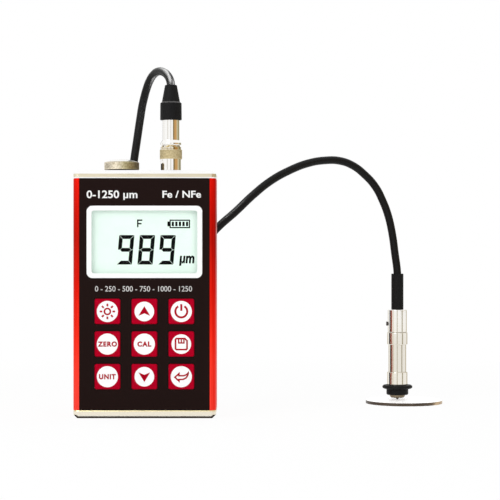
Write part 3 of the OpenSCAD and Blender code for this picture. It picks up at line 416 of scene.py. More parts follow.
def close_layer(piece, material, depth=print_depth):
    """Gives what was drawn the thickness of a printed layer, towards the front."""
    bpy.ops.mesh.select_all(action="SELECT")
    bpy.ops.mesh.extrude_region_move(TRANSFORM_OT_translate={"value": (0, -depth, 0)})
    bpy.ops.mesh.select_all(action="SELECT")
    bpy.ops.mesh.normals_make_consistent(inside=False)
    bpy.ops.object.mode_set(mode="OBJECT")
    piece.data.materials.append(material)


def bar(x0, z0, x1, z1):
    """Outline of an upright rectangle."""
    return [(x0, z0), (x1, z0), (x1, z1), (x0, z1)]


def letter(name, text, width, height, x, y, z, material, bold=0.0, slant=0.0, spread=1.0):
    """Prints a word of a given width and height round a place on the front."""
    bpy.ops.object.select_all(action="DESELECT")
    bpy.ops.object.text_add()
    word = bpy.context.object
    word.name = name
    word.data.body = text
    word.data.offset = bold
    word.data.shear = slant
    word.data.space_character = spread
    word.data.resolution_u = 6
    word.data.extrude = 0.5
    bpy.ops.object.convert(target="MESH")
    xs = [v.co.x for v in word.data.vertices]
    zs = [v.co.y for v in word.data.vertices]
    size = (width / (max(xs) - min(xs)), height / (max(zs) - min(zs)), print_depth)
    middle = ((max(xs) + min(xs)) / 2 * size[0], (max(zs) + min(zs)) / 2 * size[1])
    word.scale = size
    word.rotation_euler = (math.pi / 2, 0, 0)
    word.location = (x - middle[0], y - print_depth / 2, z - middle[1])
    bpy.ops.object.transform_apply(location=True, rotation=True, scale=True)
    bpy.ops.object.mode_set(mode="EDIT")
    bpy.ops.mesh.select_all(action="SELECT")
    bpy.ops.mesh.remove_doubles(threshold=1e-7)
    bpy.ops.object.mode_set(mode="OBJECT")
    word.data.materials.clear()
    word.data.materials.append(material)
    return word


crystal_dark = new_finish(
    "crystal_dark", ((0.001, 0.0012, 0.0012), (0.003, 0.0035, 0.0035)), 0, (0.4, 0.5), (900, 900, 900),
    (0.02, 0.00001), specular=0.05)
glass_gap = 0.00001
glass_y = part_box("lcd_glass")[0].y - glass_gap
digit_w, digit_h = 0.0081, 0.01565
digit_pitch = 0.01102
digit_left, digit_foot = -0.01492, 0.08178
digit_lean = 0.085
stroke = 0.00202
crack = 0.0001


def digit_segments(w, h, t, g):
    """Outlines of the seven segments of a digit, mitred where they meet, with a hairline between them."""
    m = h / 2
    return {
        "top": [(g, h), (t + g, h - t), (w - t - g, h - t), (w - g, h)],
        "upper_left": [(0, h - g), (0, m + g), (t / 2, m + g), (t, m + t / 2 + g), (t, h - t - g)],
        "upper_right": [
            (w, h - g), (w - t, h - t - g), (w - t, m + t / 2 + g), (w - t / 2, m + g), (w, m + g)],
        "middle": [(t / 2 + g, m), (t + g, m - t / 2), (w - t - g, m - t / 2), (w - t / 2 - g, m),
                   (w - t - g, m + t / 2), (t + g, m + t / 2)],
        "lower_left": [(0, g), (t, t + g), (t, m - t / 2 - g), (t / 2, m - g), (0, m - g)],
        "lower_right": [(w, g), (w, m - g), (w - t / 2, m - g), (w - t, m - t / 2 - g), (w - t, t + g)],
        "bottom": [(g, 0), (w - g, 0), (w - t - g, t), (t + g, t)],
    }


nine = ("top", "upper_left", "upper_right", "middle", "lower_right", "bottom")
eight = nine + ("lower_left",)
reading = start_layer("lcd_reading")
segments = digit_segments(digit_w, digit_h, stroke, crack)
for place_no, lit in enumerate((nine, eight, nine)):
    left = digit_left + place_no * digit_pitch
    for key in lit:
        draw([(left + x + digit_lean * z, digit_foot + z) for x, z in segments[key]], glass_y)
letter_left, letter_foot = -0.0041, 0.10164
letter_w, letter_h, letter_line = 0.0028, 0.0041, 0.00075
draw(bar(letter_left, letter_foot, letter_left + letter_line, letter_foot + letter_h), glass_y)
for rise, length in ((letter_h, letter_w), (0.55 * letter_h, 0.85 * letter_w)):
    draw(bar(letter_left + letter_line, letter_foot + rise - letter_line, letter_left + length,
             letter_foot + rise), glass_y)
cell_left, cell_right = 0.0132, 0.02415
cell_foot, cell_top = 0.1011, 0.10567
cell_line = 0.00066
cell_mid = (cell_foot + cell_top) / 2
pole_w, pole_half = 0.0011, 0.0013
draw(bar(cell_left - pole_w, cell_mid - pole_half, cell_left, cell_mid + pole_half), glass_y)
draw(bar(cell_left, cell_foot, cell_left + cell_line, cell_top), glass_y)
for z in (cell_foot, cell_top - cell_line):
    draw(bar(cell_left + cell_line, z, cell_right, z + cell_line), glass_y)
for z in (cell_foot + cell_line, cell_top - 3.5 * cell_line):
    draw(bar(cell_right - cell_line, z, cell_right, z + 2.5 * cell_line), glass_y)
charge_w, charge_h, charge_pitch, charge_gap = 0.0012, 0.0024, 0.0019, 0.00115
for step in range(5):
    x = cell_left + charge_gap + step * charge_pitch
    draw(bar(x, cell_mid - charge_h / 2, x + charge_w, cell_mid + charge_h / 2), glass_y)
close_layer(reading, crystal_dark)
unit_w, unit_h, unit_x, unit_z = 0.0082, 0.0054, 0.0224, 0.0838
unit_bold, unit_slant = 0.04, 0.12
unit = letter("lcd_unit", "µm", unit_w, unit_h, unit_x, glass_y, unit_z, crystal_dark, unit_bold, unit_slant)
for piece in (reading, unit):
    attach(piece, "gauge")

# White print on the panel, put on with a screen: the measuring range and the kinds of base metal
# over the display, and a row of plain scale figures under it.
print_white = new_finish(
    "print_white", ((0.78, 0.78, 0.77), (0.88, 0.88, 0.87)), 0, (0.45, 0.55), (1500, 1500, 1500),
    (0.03, 0.00001))
print_grey = new_finish(
    "print_grey", ((0.52, 0.51, 0.50), (0.64, 0.63, 0.62)), 0, (0.45, 0.55), (1500, 1500, 1500),
    (0.03, 0.00001))
panel_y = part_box("front_panel")[0].y
header_z, header_drop, scale_z = 0.1191, 0.0005, 0.0689
header_bold, scale_bold = 0.02, 0.004
prints = [
    ("print_range", "0-1250 µm", (0.027, 0.0051), (-0.0172, header_z - header_drop), print_white,
     header_bold),
    ("print_principle", "Fe / NFe", (0.0205, 0.0038), (0.0198, header_z), print_white, header_bold),
    ("print_scale", "0 - 250 - 500 - 750 - 1000 - 1250", (0.0515, 0.0029), (-0.00048, scale_z), print_grey,
     scale_bold),
]
for name, words, (width, height), (x, z), ink, bold in prints:
    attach(letter(name, words, width, height, x, panel_y, z, ink, bold), "gauge")

# Nine keys of red plastic stand a little out of the panel and press in against a switch each.
# On every face is a white printed dot with the key's sign or word in red.
key_red = new_finish(
    "key_red", ((0.40, 0.0001, 0.0135), (0.45, 0.0003, 0.0175)), 0, (0.42, 0.52), (1200, 1200, 1200),
    (0.06, 0.00002), specular=0.02)
dot_white = new_finish(
    "dot_white", ((0.95, 0.95, 0.95), (0.98, 0.98, 0.98)), 0, (0.45, 0.55), (1500, 1500, 1500),
    (0.03, 0.00001))
sign_red = new_finish(
    "sign_red", ((0.36, 0.0002, 0.010), (0.42, 0.0004, 0.014)), 0, (0.45, 0.55), (1500, 1500, 1500),
    (0.03, 0.00001), specular=0.02)
key_nodes = [name for name in nodes if name.startswith("key_") and name != "key_switches"]
dress(key_red, *key_nodes)


def ring_points(x, z, radius, start=0.0, end=360.0, count=48):
    """Points along an arc, counted against the clock from the right."""
    steps = count if end - start >= 360 else count + 1
    angles = [math.radians(start + (end - start) * i / count) for i in range(steps)]
    return [(x + radius * math.cos(a), z + radius * math.sin(a)) for a in angles]


def draw_sun(x, z, y):
    """A ring with eight short rays, for the light."""
    sun_r, sun_line = 0.00202, 0.00088
    ray_in, ray_out, ray_half = 0.0027, 0.0041, 0.00048
    draw(ring_points(x, z, sun_r), y, sun_line)
    for turn in range(8):
        a = math.radians(45 * turn)
        along, aside = (math.cos(a), math.sin(a)), (-math.sin(a), math.cos(a))
        corners = [(ray_in, -ray_half), (ray_out, -ray_half), (ray_out, ray_half), (ray_in, ray_half)]
        draw([(x + r * along[0] + s * aside[0], z + r * along[1] + s * aside[1]) for r, s in corners], y)


def draw_arrowhead(x, z, y, way):
    """A notched arrowhead that points up or down."""
    corners = [(0, 0.0028), (-0.0031, -0.0023), (0, -0.001), (0.0031, -0.0023)]
    drawn = [(x + a, z + way * b) for a, b in corners]
    draw(drawn if way > 0 else drawn[::-1], y)


def draw_power(x, z, y):
    """An open ring with an upright bar in its gap."""
    outer, line, gap = 0.00367, 0.00105, 31
    bar_low, bar_high = 0.0003, 0.0039
    outside = ring_points(x, z, outer, 90 + gap, 450 - gap)
    inside = ring_points(x, z, outer - line, 90 + gap, 450 - gap)
    draw(outside + inside[::-1], y)
    draw(bar(x - line / 2, z + bar_low, x + line / 2, z + bar_high), y)


def draw_disk(x, z, y):
    """A floppy disk with a cut corner and its shutter, for saving."""
    half_w, half_h, cut, line = 0.0035, 0.00335, 0.0014, 0.00088
    corner = 0.0007
    draw([(x - half_w + corner, z - half_h), (x + half_w - corner, z - half_h),
          (x + half_w, z - half_h + corner), (x + half_w, z + half_h - cut),
          (x + half_w - cut, z + half_h), (x - half_w + corner, z + half_h),
          (x - half_w, z + half_h - corner), (x - half_w, z - half_h + corner)], y, line)
    half, drop, thin, slot_half = 0.00175, 0.0031, 0.0007, 0.00032
    top, low = z + half_h - line, z + half_h - drop
    draw([(x - half, top), (x - half, low), (x + half, low), (x + half, top), (x + half - thin, top),
          (x + half - thin, low + thin), (x - half + thin, low + thin), (x - half + thin, top)], y)
    draw(bar(x - slot_half, low + thin, x + slot_half, top), y)


def draw_return(x, z, y):
    """A curved arrow in outline, which points left."""
    line = 0.00078
    outline = [
        (-0.004, -0.0003), (-0.00085, -0.0032), (-0.00085, -0.0019), (0.0011, -0.0018), (0.0026, -0.0011),
        (0.0036, 0.0002), (0.0041, 0.0016), (0.004, 0.0031), (0.0031, 0.0019), (0.0021, 0.0012),
        (0.001, 0.0009), (-0.00085, 0.0009), (-0.00085, 0.0025)]
    draw([(x + a, z + b) for a, b in outline], y, line)


big_dot, small_dot = 0.0056, 0.0052
legends = {
    "key_light": (big_dot, draw_sun),
    "key_up": (small_dot, lambda x, z, y: draw_arrowhead(x, z, y, 1)),
    "key_power": (big_dot, draw_power),
    "key_zero": (big_dot, ("ZERO", 0.0102)),
    "key_cal": (big_dot, ("CAL", 0.0074)),
    "key_save": (small_dot, draw_disk),
    "key_unit": (big_dot, ("UNIT", 0.0089)),
    "key_down": (small_dot, lambda x, z, y: draw_arrowhead(x, z, y, -1)),
    "key_enter": (big_dot, draw_return),
}
sign_h, sign_bold, sign_spread = 0.0028, 0.05, 1.18
for name, (radius, sign) in legends.items():
    low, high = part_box(name)
    x, z = (low.x + high.x) / 2, (low.z + high.z) / 2
    dot = start_layer(name + "_dot")
    draw(ring_points(x, z, radius, count=64), low.y)
    close_layer(dot, dot_white)
    sign_y = low.y - print_depth
    if callable(sign):
        mark = start_layer(name + "_sign")
        sign(x, z, sign_y)
        close_layer(mark, sign_red)
    else:
        word, width = sign
        mark = letter(
            name + "_sign", word, width, sign_h, x, sign_y, z, sign_red, sign_bold, spread=sign_spread)
    for piece in (dot, mark):
        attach(piece, name)

# Inside the housing: the board with its parts and the key switches, the display's light guide,
# the cells in their tube with their contacts and spring, and the leads to the probe's socket.
inner_finishes = [
    ("backlight_white", (0.85, 0.85, 0.82), 0, 0.5, ["lcd_backlight"]),
    ("strip_rubber", (0.05, 0.05, 0.05), 0, 0.7, ["lcd_connectors"]),
    ("board_green", (0.01, 0.09, 0.03), 0, 0.45, ["main_board"]),
    ("chip_black", (0.02, 0.02, 0.022), 0, 0.5, ["board_components", "key_switches", "battery_base",
                                               "socket_insert", "plug_insert"]),
    ("tube_aluminium", (0.75, 0.75, 0.74), 1, 0.4, ["battery_tube", "board_standoffs", "socket_nut"]),
    ("contact_brass", (0.86, 0.70, 0.38), 1, 0.3, ["battery_base_contact", "cap_contact", "plug_pins",
                                                  "ring_spring"]),
    ("cell_jacket", (0.5, 0.36, 0.1), 0.3, 0.35, ["battery_cells"]),
    ("spring_steel", (0.6, 0.58, 0.54), 1, 0.25, ["battery_spring", "probe_spring"]),
    ("seal_rubber", (0.02, 0.02, 0.02), 0, 0.7, ["cap_seal"]),
    ("lead_red", (0.45, 0.02, 0.02), 0, 0.5, ["battery_leads"]),
    ("lead_blue", (0.05, 0.12, 0.35), 0, 0.5, ["socket_leads"]),
    ("core_iron", (0.28, 0.27, 0.26), 1, 0.5, ["probe_core"]),
    ("coil_copper", (0.7, 0.33, 0.16), 1, 0.35, ["probe_coil"]),
]
for name, colour, metallic, rough, members in inner_finishes:
    darker = tuple(0.85 * c for c in colour)
    material = new_finish(
        name, (darker, colour), metallic, (0.9 * rough, 1.1 * rough), (800, 800, 800), (0.08, 0.00003))
    dress(material, *members)

# The battery cap is turned from nickel plated brass. Its rim has a fine diamond knurl for the fingers,
# its domed top a slot for a coin, and its threaded spigot screws into the battery tube.
cap_nickel = new_finish(
    "cap_nickel", ((0.42, 0.36, 0.25), (0.74, 0.68, 0.55)), 1, (0.45, 0.55), (1300, 1300, 1300),
    (0.2, 0.00004))


def pick(mesh_piece, kind, test):
    """Selects the faces, edges or points of the piece in edit mode that pass a test."""
    bpy.ops.mesh.select_mode(type=kind)
    bpy.ops.mesh.select_all(action="DESELECT")
    shape = bmesh.from_edit_mesh(mesh_piece.data)
    parts = {"FACE": shape.faces, "EDGE": shape.edges, "VERT": shape.verts}[kind]
    for part in parts:
        part.select = test(part)
    shape.select_flush_mode()
    bmesh.update_edit_mesh(mesh_piece.data)


def knurled_drum(name, x, y, radius, low, high, knurls, rows, depth):
    """A short round bar with a diamond knurl pressed into its wall, left in edit mode."""
    bpy.ops.object.select_all(action="DESELECT")
    bpy.ops.mesh.primitive_cylinder_add(
        vertices=2 * knurls, radius=radius, depth=high - low, location=(x, y, (low + high) / 2))
    drum = bpy.context.object
    drum.name = name
    bpy.ops.object.transform_apply(location=True)
    bpy.ops.object.mode_set(mode="EDIT")
    pick(drum, "EDGE", lambda e: abs(e.verts[0].co.z - e.verts[1].co.z) > 0.5 * (high - low))
    bpy.ops.mesh.subdivide(number_cuts=rows - 1)

    def pressed(v):
        row = round((v.co.z - low) / (high - low) * rows)
        spoke = round(math.atan2(v.co.x - x, v.co.y - y) / math.tau * 2 * knurls)
        return 0 < row < rows and (row + spoke) % 2 == 1

    pick(drum, "VERT", pressed)
    shrink = 1 - depth / radius
    bpy.ops.transform.resize(value=(shrink, shrink, 1), center_override=(x, y, (low + high) / 2))
    return drum


def step_face(rise, scale, centre):
    """Extrudes the selected end face upwards and scales it about the axis."""
    bpy.ops.mesh.extrude_region_move(TRANSFORM_OT_translate={"value": (0, 0, rise)})
    bpy.ops.transform.resize(value=(scale, scale, 1), center_override=centre)


def make_active(piece):
    """Selects one piece alone, for the operators that follow."""
    bpy.ops.object.select_all(action="DESELECT")
    bpy.context.view_layer.objects.active = piece
    piece.select_set(True)


def cut_away(piece, cutter):
    """Cuts one piece out of another and removes the cutter."""
    make_active(piece)
    cut = piece.modifiers.new("cut", "BOOLEAN")
    cut.operation = "DIFFERENCE"
    cut.solver = "EXACT"
    cut.object = cutter
    bpy.ops.object.modifier_apply(modifier="cut")
    bpy.data.objects.remove(cutter)


def smooth(piece, angle=35):
    """Shades a piece smooth, with its sharp edges kept and its large faces true."""
    make_active(piece)
    bpy.ops.object.shade_smooth_by_angle(angle=math.radians(angle))
    true_faces = piece.modifiers.new("true_faces", "WEIGHTED_NORMAL")
    true_faces.keep_sharp = True
    bpy.ops.object.modifier_apply(modifier="true_faces")


def axis_of(low, high):
    """Place of the upright axis in the middle of a box."""
    return (low.x + high.x) / 2, (low.y + high.y) / 2


low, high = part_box("battery_cap")
cap_x, cap_y = axis_of(low, high)
cap_r = (high.x - low.x) / 2
cap_bevel, cap_chamfer, cap_dome, cap_gap = 0.0004, 0.0008, 0.0016, 0.0001
spigot_r, spigot_bore, spigot_hollow = 0.00735, 0.006, 0.0043
cap_knurls, knurl_rows, knurl_depth = 84, 12, 0.00022
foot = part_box("top_plate")[1].z + cap_gap
rim_z = high.z - cap_dome
cap = knurled_drum(
    "knurled_cap", cap_x, cap_y, cap_r, foot + cap_chamfer, rim_z - cap_bevel, cap_knurls, knurl_rows,
    knurl_depth)
pick(cap, "FACE", lambda f: f.normal.z > 0.9)
dome_edge = cap_r - 1.9 * cap_bevel
step_face(cap_bevel, dome_edge / cap_r, (cap_x, cap_y, rim_z))
dome_r = (dome_edge ** 2 + cap_dome ** 2) / (2 * cap_dome)
reach, rise = dome_edge, 0
for share in (0.85, 0.7, 0.55, 0.4, 0.25, 0.1):
    wide = dome_edge * share
    tall = math.sqrt(dome_r ** 2 - wide ** 2) - dome_r + cap_dome
    step_face(tall - rise, wide / reach, (cap_x, cap_y, rim_z + tall))
    reach, rise = wide, tall
pick(cap, "FACE", lambda f: f.normal.z < -0.9)
step_face(-cap_chamfer, (cap_r - cap_chamfer) / cap_r, (cap_x, cap_y, foot))
bpy.ops.mesh.inset(thickness=cap_r - cap_chamfer - spigot_r)
step_face(low.z - foot, 1, (cap_x, cap_y, low.z))
bpy.ops.mesh.inset(thickness=spigot_r - spigot_bore)
step_face(spigot_hollow, 1, (cap_x, cap_y, low.z))
bpy.ops.object.mode_set(mode="OBJECT")
slot_len, slot_w = 0.013, 0.002
bpy.ops.mesh.primitive_cube_add(size=1, location=(cap_x, cap_y, rim_z + cap_dome))
coin_slot = bpy.context.object
coin_slot.scale = (slot_len, slot_w, 2 * cap_dome)
cut_away(cap, coin_slot)
cap_polish = new_finish(
    "cap_polish", ((0.94, 0.93, 0.90), (0.99, 0.98, 0.96)), 1, (0.22, 0.34), (900, 900, 900),
    (0.06, 0.00002))
# Painted shade: the lower bevel, where the cap meets the plate, is dark brown.
cap_painted_shade = new_finish(
    "cap_painted_shade", ((0.03, 0.022, 0.014), (0.06, 0.045, 0.03)), 0.6, (0.4, 0.5), (900, 900, 900),
    (0.1, 0.00003))
# Painted reflection and shade: the knurled rim is lighter on its left and darker olive on its right.
tint_along(cap_nickel, "X", [
    (cap_x - cap_r, (1.5, 1.52, 1.6)), (cap_x - 0.6 * cap_r, (1.12, 1.12, 1.15)),
    (cap_x - 0.1 * cap_r, (1.1, 1.1, 1.1)), (cap_x + 0.2 * cap_r, (0.93, 0.92, 0.72)),
    (cap_x + 0.5 * cap_r, (0.76, 0.75, 0.55)), (cap_x + 0.95 * cap_r, (0.42, 0.37, 0.3))])
for finish in (cap_nickel, cap_polish, cap_painted_shade):
    cap.data.materials.append(finish)
for face in cap.data.polygons:
    if face.center.z > rim_z:
        face.material_index = 1
    elif face.normal.z < -0.2 and foot - cap_bevel < face.center.z < foot + cap_chamfer:
        face.material_index = 2
smooth(cap, 25)
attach(cap, "battery_cap")
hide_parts("battery_cap")

# The plug: a bright nickel shell with a sloped shoulder, a spring washer, and a coupling ring that
# locks on the socket with a bayonet catch. The socket stands in the top plate.
plug_nickel = new_finish(
    "plug_nickel", ((0.92, 0.91, 0.88), (0.98, 0.97, 0.95)), 1, (0.05, 0.08), (40, 40, 5200),
    (0.04, 0.00002))
# Painted shade: the socket is dark, for the shade seen in the coupling ring's notches.
socket_painted_shade = new_finish(
    "socket_painted_shade", ((0.025, 0.02, 0.015), (0.05, 0.04, 0.03)), 0.7, (0.35, 0.45), (900, 900, 900),
    (0.08, 0.00003))
dress(socket_painted_shade, "probe_socket")


def turned(name, x, y, outline, soft=0.0, sides=128):
    """Turns a closed outline of (radius, height) points about an upright axis, as on a lathe."""
    bpy.ops.object.select_all(action="DESELECT")
    bpy.ops.mesh.primitive_circle_add(vertices=len(outline))
    piece = bpy.context.object
    piece.name = name
    for vertex, (radius, height) in zip(piece.data.vertices, outline):
        vertex.co = (x + radius, y, height)
    bpy.ops.object.mode_set(mode="EDIT")
    bpy.ops.mesh.select_all(action="SELECT")
    bpy.ops.mesh.spin(steps=sides, angle=math.tau, center=(x, y, 0), axis=(0, 0, 1))
    bpy.ops.mesh.select_all(action="SELECT")
    bpy.ops.mesh.remove_doubles(threshold=1e-7)
    bpy.ops.mesh.delete_loose()
    bpy.ops.mesh.select_all(action="SELECT")
    bpy.ops.mesh.normals_make_consistent(inside=False)
    bpy.ops.object.mode_set(mode="OBJECT")
    if soft:
        edge = piece.modifiers.new("soft_edges", "BEVEL")
        edge.width = soft
        edge.segments = 3
        edge.limit_method = "ANGLE"
        edge.angle_limit = math.radians(30)
        bpy.ops.object.modifier_apply(modifier="soft_edges")
    smooth(piece)
    return piece


ring_low, ring_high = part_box("coupling_ring")
boot_low, boot_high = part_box("plug_boot")
shell_low, shell_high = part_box("plug_barrel")
plug_x, plug_y = axis_of(ring_low, ring_high)
shoulder_h, shoulder_lip, washer_gap = 0.0027, 0.0013, 0.00002
shoulder_r, shell_r = (shell_high.x - shell_low.x) / 2, 0.00475
neck_r, sleeve_r, bore_r, tail_r, cord_bore = 0.004, 0.00385, 0.0032, 0.0034, 0.0023
washer_low, washer_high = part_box("ring_spring")
shoulder_z, seat_z = washer_high.z + washer_gap, washer_low.z - washer_gap
sleeve_end, neck_foot = ring_low.z + 0.006, ring_low.z + 0.0066
bore_end, cone_end, shell_soft = boot_low.z - 0.0105, boot_low.z - 0.01, 0.00018
shell = turned("plug_shell", plug_x, plug_y, [
    (bore_r, shell_low.z), (sleeve_r, shell_low.z), (sleeve_r, sleeve_end), (neck_r, neck_foot),
    (neck_r, shoulder_z), (shoulder_r, shoulder_z), (shoulder_r, shoulder_z + shoulder_lip),
    (shell_r, shoulder_z + shoulder_h), (shell_r, boot_low.z), (tail_r, boot_low.z), (tail_r, shell_high.z),
    (cord_bore, shell_high.z), (cord_bore, cone_end), (bore_r, bore_end)], shell_soft)
shell.data.materials.append(plug_nickel)
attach(shell, "gauge")
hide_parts("plug_barrel")

ring_r, grip_r = 0.0056, (ring_high.x - ring_low.x) / 2
band_low, band_high = ring_low.z + 0.0062, ring_low.z + 0.0112
ring_bore, rim_wall, roof_z = 0.00475, 0.0005, ring_low.z + 0.0084
ring_knurls, grip_sink, cutter_len = 56, 0.0002, 0.02
neck_fit, ring_soft = neck_r + 0.00005, 0.00015
grip = knurled_drum(
    "grip_band", plug_x, plug_y, grip_r, band_low, band_high, ring_knurls, knurl_rows, knurl_depth)
bpy.ops.object.mode_set(mode="OBJECT")
bpy.ops.mesh.primitive_cylinder_add(
    vertices=128, radius=ring_r - grip_sink, depth=cutter_len,
    location=(plug_x, plug_y, (band_low + band_high) / 2))
cut_away(grip, bpy.context.object)
smooth(grip, 25)
ring = turned("bayonet_ring", plug_x, plug_y, [
    (ring_bore, ring_low.z), (ring_r, ring_low.z), (ring_r, ring_high.z), (ring_r - rim_wall, ring_high.z),
    (ring_r - rim_wall, seat_z), (neck_fit, seat_z), (neck_fit, roof_z), (ring_bore, roof_z)], ring_soft)
notch_d, notch_w, notch_h, notch_turn = 0.003, 0.0018, 0.0036, 208
for half in (0, 180):
    a = math.radians(notch_turn + half)
    spot = (plug_x + ring_r * math.cos(a), plug_y + ring_r * math.sin(a), ring_low.z)
    bpy.ops.mesh.primitive_cube_add(size=1, location=spot, rotation=(0, 0, a))
    notch = bpy.context.object
    notch.scale = (notch_d, notch_w, 2 * notch_h)
    cut_away(ring, notch)
ring_nickel = new_finish(
    "ring_nickel", ((0.92, 0.91, 0.88), (0.98, 0.97, 0.95)), 1, (0.05, 0.08), (40, 40, 5200),
    (0.04, 0.00002))
# Painted shade: two darker gold lines round the ring, one a little below the top and one along it.
ring_painted_shade_line = (0.55, 0.42, 0.18)
line_low, line_high, rim_low = ring_high.z - 0.0012, ring_high.z - 0.0009, ring_high.z - 0.0004
tint_along(ring_nickel, "Z", [
    (ring_low.z, bare), (line_low - blend_h, bare), (line_low, ring_painted_shade_line), (line_high, ring_painted_shade_line),
    (line_high + blend_h, bare), (rim_low - blend_h, bare), (rim_low, ring_painted_shade_line), (ring_high.z, ring_painted_shade_line)])
ring.data.materials.append(ring_nickel)
knurl_nickel = new_finish(
    "knurl_nickel", ((0.44, 0.35, 0.175), (0.66, 0.55, 0.32)), 0.3, (0.5, 0.6), (1300, 1300, 1300),
    (0.2, 0.00004))
grip.data.materials.append(knurl_nickel)
smooth(ring)
for piece in (ring, grip):
    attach(piece, "coupling_ring")
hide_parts("coupling_ring")

# The boot is black rubber, moulded as a thick collar and a tapered tail that keeps the cord from kinking.
# It is pushed over the shell's tail, and the cord passes through it.
boot_rubber = new_finish(
    "boot_rubber", ((0.0048, 0.0048, 0.005), (0.0085, 0.0085, 0.0088)), 0, (0.5, 0.66),
    (1100, 1100, 1100), (0.25, 0.00005), specular=0.12)
collar_r, collar_len = (boot_high.x - boot_low.x) / 2, 0.0093
tail_foot_r, tail_end_r = 0.00495, 0.0032
collar_draft, step_h, boot_soft = 0.0001, 0.0003, 0.0004
step_z = boot_low.z + collar_len
step_low, step_high, step_painted_highlight = step_z - 0.0001, step_z + 0.0005, (14, 13.5, 13)
# Painted highlight: a light line round the step where the collar meets the tail.
tint_along(boot_rubber, "Z", [
    (boot_low.z, bare), (step_low - blend_h, bare), (step_low, step_painted_highlight), (step_high, step_painted_highlight),
    (step_high + blend_h, bare), (boot_high.z, bare)])
boot = turned("plug_boot_rubber", plug_x, plug_y, [
    (tail_r, boot_low.z), (collar_r, boot_low.z), (collar_r - collar_draft, step_z),
    (tail_foot_r, step_z + step_h), (tail_end_r, boot_high.z), (cord_bore, boot_high.z),
    (cord_bore, shell_high.z), (tail_r, shell_high.z)], boot_soft)
boot.data.materials.append(boot_rubber)
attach(boot, "gauge")
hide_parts("plug_boot")

# The cord is a limp black lead. It rises out of the boot, falls behind the gauge, turns up again
# there, and crosses in a wide arch to the top of the probe.
cord_black = new_finish(
    "cord_black", ((0.0036, 0.0036, 0.0036), (0.0066, 0.0066, 0.0064)), 0, (0.3, 0.38), (900, 900, 900),
    (0.03, 0.00003), specular=0.14)
cord_d, cord_len = 0.0045, 0.40
cord_route = [
    (0.0133, 0.002, 0.1667), (0.0133, 0.002, 0.1787), (0.0127, 0.0028, 0.1816), (0.0113, 0.005, 0.1842),
    (0.0091, 0.0089, 0.1863), (0.0061, 0.0138, 0.1873), (0.0031, 0.0188, 0.1862), (0.0006, 0.0228, 0.1832),
    (-0.0013, 0.0258, 0.179), (-0.0027, 0.0274, 0.1745), (-0.0039, 0.0282, 0.1695), (-0.0049, 0.0285, 0.1635),
    (-0.0069, 0.0285, 0.15), (-0.0086, 0.0285, 0.138), (-0.01, 0.0285, 0.12),
    (-0.0102, 0.0285, 0.104), (-0.0075, 0.0285, 0.089), (0, 0.0285, 0.078), (0.011, 0.029, 0.0745),
    (0.0215, 0.0295, 0.081), (0.0295, 0.03, 0.092), (0.0375, 0.031, 0.1015), (0.048, 0.034, 0.111),
    (0.058, 0.038, 0.1206), (0.068, 0.043, 0.1287), (0.0785, 0.048, 0.1347), (0.089, 0.054, 0.139),
    (0.099, 0.06, 0.141), (0.108, 0.065, 0.141), (0.1155, 0.069, 0.1386), (0.1226, 0.073, 0.1336),
    (0.1292, 0.076, 0.1266), (0.1336, 0.078, 0.1186), (0.137, 0.0793, 0.1098), (0.1394, 0.08, 0.0995),
    (0.141, 0.08, 0.088), (0.1425, 0.08, 0.07562), (0.1425, 0.08, 0.05162)]


def new_wire(name, kind, diameter, fineness):
    """Starts a round wire along a curve that has no points yet."""
    bpy.ops.object.select_all(action="DESELECT")
    bpy.ops.curve.primitive_bezier_curve_add()
    wire = bpy.context.object
    wire.name = name
    wire.data.splines.clear()
    wire.data.bevel_depth = diameter / 2
    wire.data.bevel_resolution = fineness
    wire.data.use_fill_caps = True
    return wire, wire.data.splines.new(kind)


cord, lead = new_wire("probe_lead", "BEZIER", cord_d, fineness=6)
lead.bezier_points.add(len(cord_route) - 1)
for point, spot in zip(lead.bezier_points, cord_route):
    point.co = spot
    point.handle_left_type = "AUTO"
    point.handle_right_type = "AUTO"
lead.resolution_u = 8
cord.data.materials.append(cord_black)
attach(cord, "gauge")
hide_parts("probe_cord")
cord_only = bpy.data.collections.new("cord_only")
cord_only.objects.link(cord)
sheens = [
    ("over_bend_lamp", (0.003, 0.010, 0.2), 0.022, (0, 0, 0), 0.013),
    ("before_bend_lamp", (0.0075, -0.0073, 0.196), 0.026, (math.radians(40), 0, 0), 0.045),
    ("beside_bend_lamp", (0.045, -0.008, 0.19), 0.035, (0, math.pi / 2, 0), 0.05),
    ("under_bend_lamp", (0.02, 0.055, 0.145), 0.05, (0, math.pi, 0), 0.06),
]
sheen_spread = math.radians(100)
for name, spot, size, tilt, power in sheens:
    lamp = area_lamp(name, spot, size, power, tilt)
    lamp.data.spread = sheen_spread
    lamp.visible_camera = False
    lamp.visible_diffuse = False
    lamp.light_linking.receiver_collection = cord_only

# The probe is turned steel, chromed: a cap that grips the cord, a lock ring, a barrel and a foot ring.
# A shrunk sleeve guards the cord over the cap, and a small screw in the cap's side locks it.
probe_chrome = new_finish(
    "probe_chrome", ((0.90, 0.88, 0.84), (0.96, 0.95, 0.92)), 1, (0.05, 0.1), (30, 30, 5200),
    (0.05, 0.00002))
sleeve_black = new_finish(
    "sleeve_black", ((0.0072, 0.0072, 0.0072), (0.011, 0.011, 0.011)), 0, (0.48, 0.6), (900, 900, 900),
    (0.12, 0.00003), specular=0.08)
edge_soft = 0.0004


def probe_ring(name, node, bore, material, soft=edge_soft, outline=None):
    """Turns a ring of the probe, plain and as large as its node's box where no outline is given."""
    low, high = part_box(node)
    radius = (high.x - low.x) / 2
    plain = [(bore, low.z), (radius, low.z), (radius, high.z), (bore, high.z)]
    piece = turned(name, *axis_of(low, high), outline or plain, soft)
    piece.data.materials.append(material)
    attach(piece, "gauge")
    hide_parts(node)
    return piece


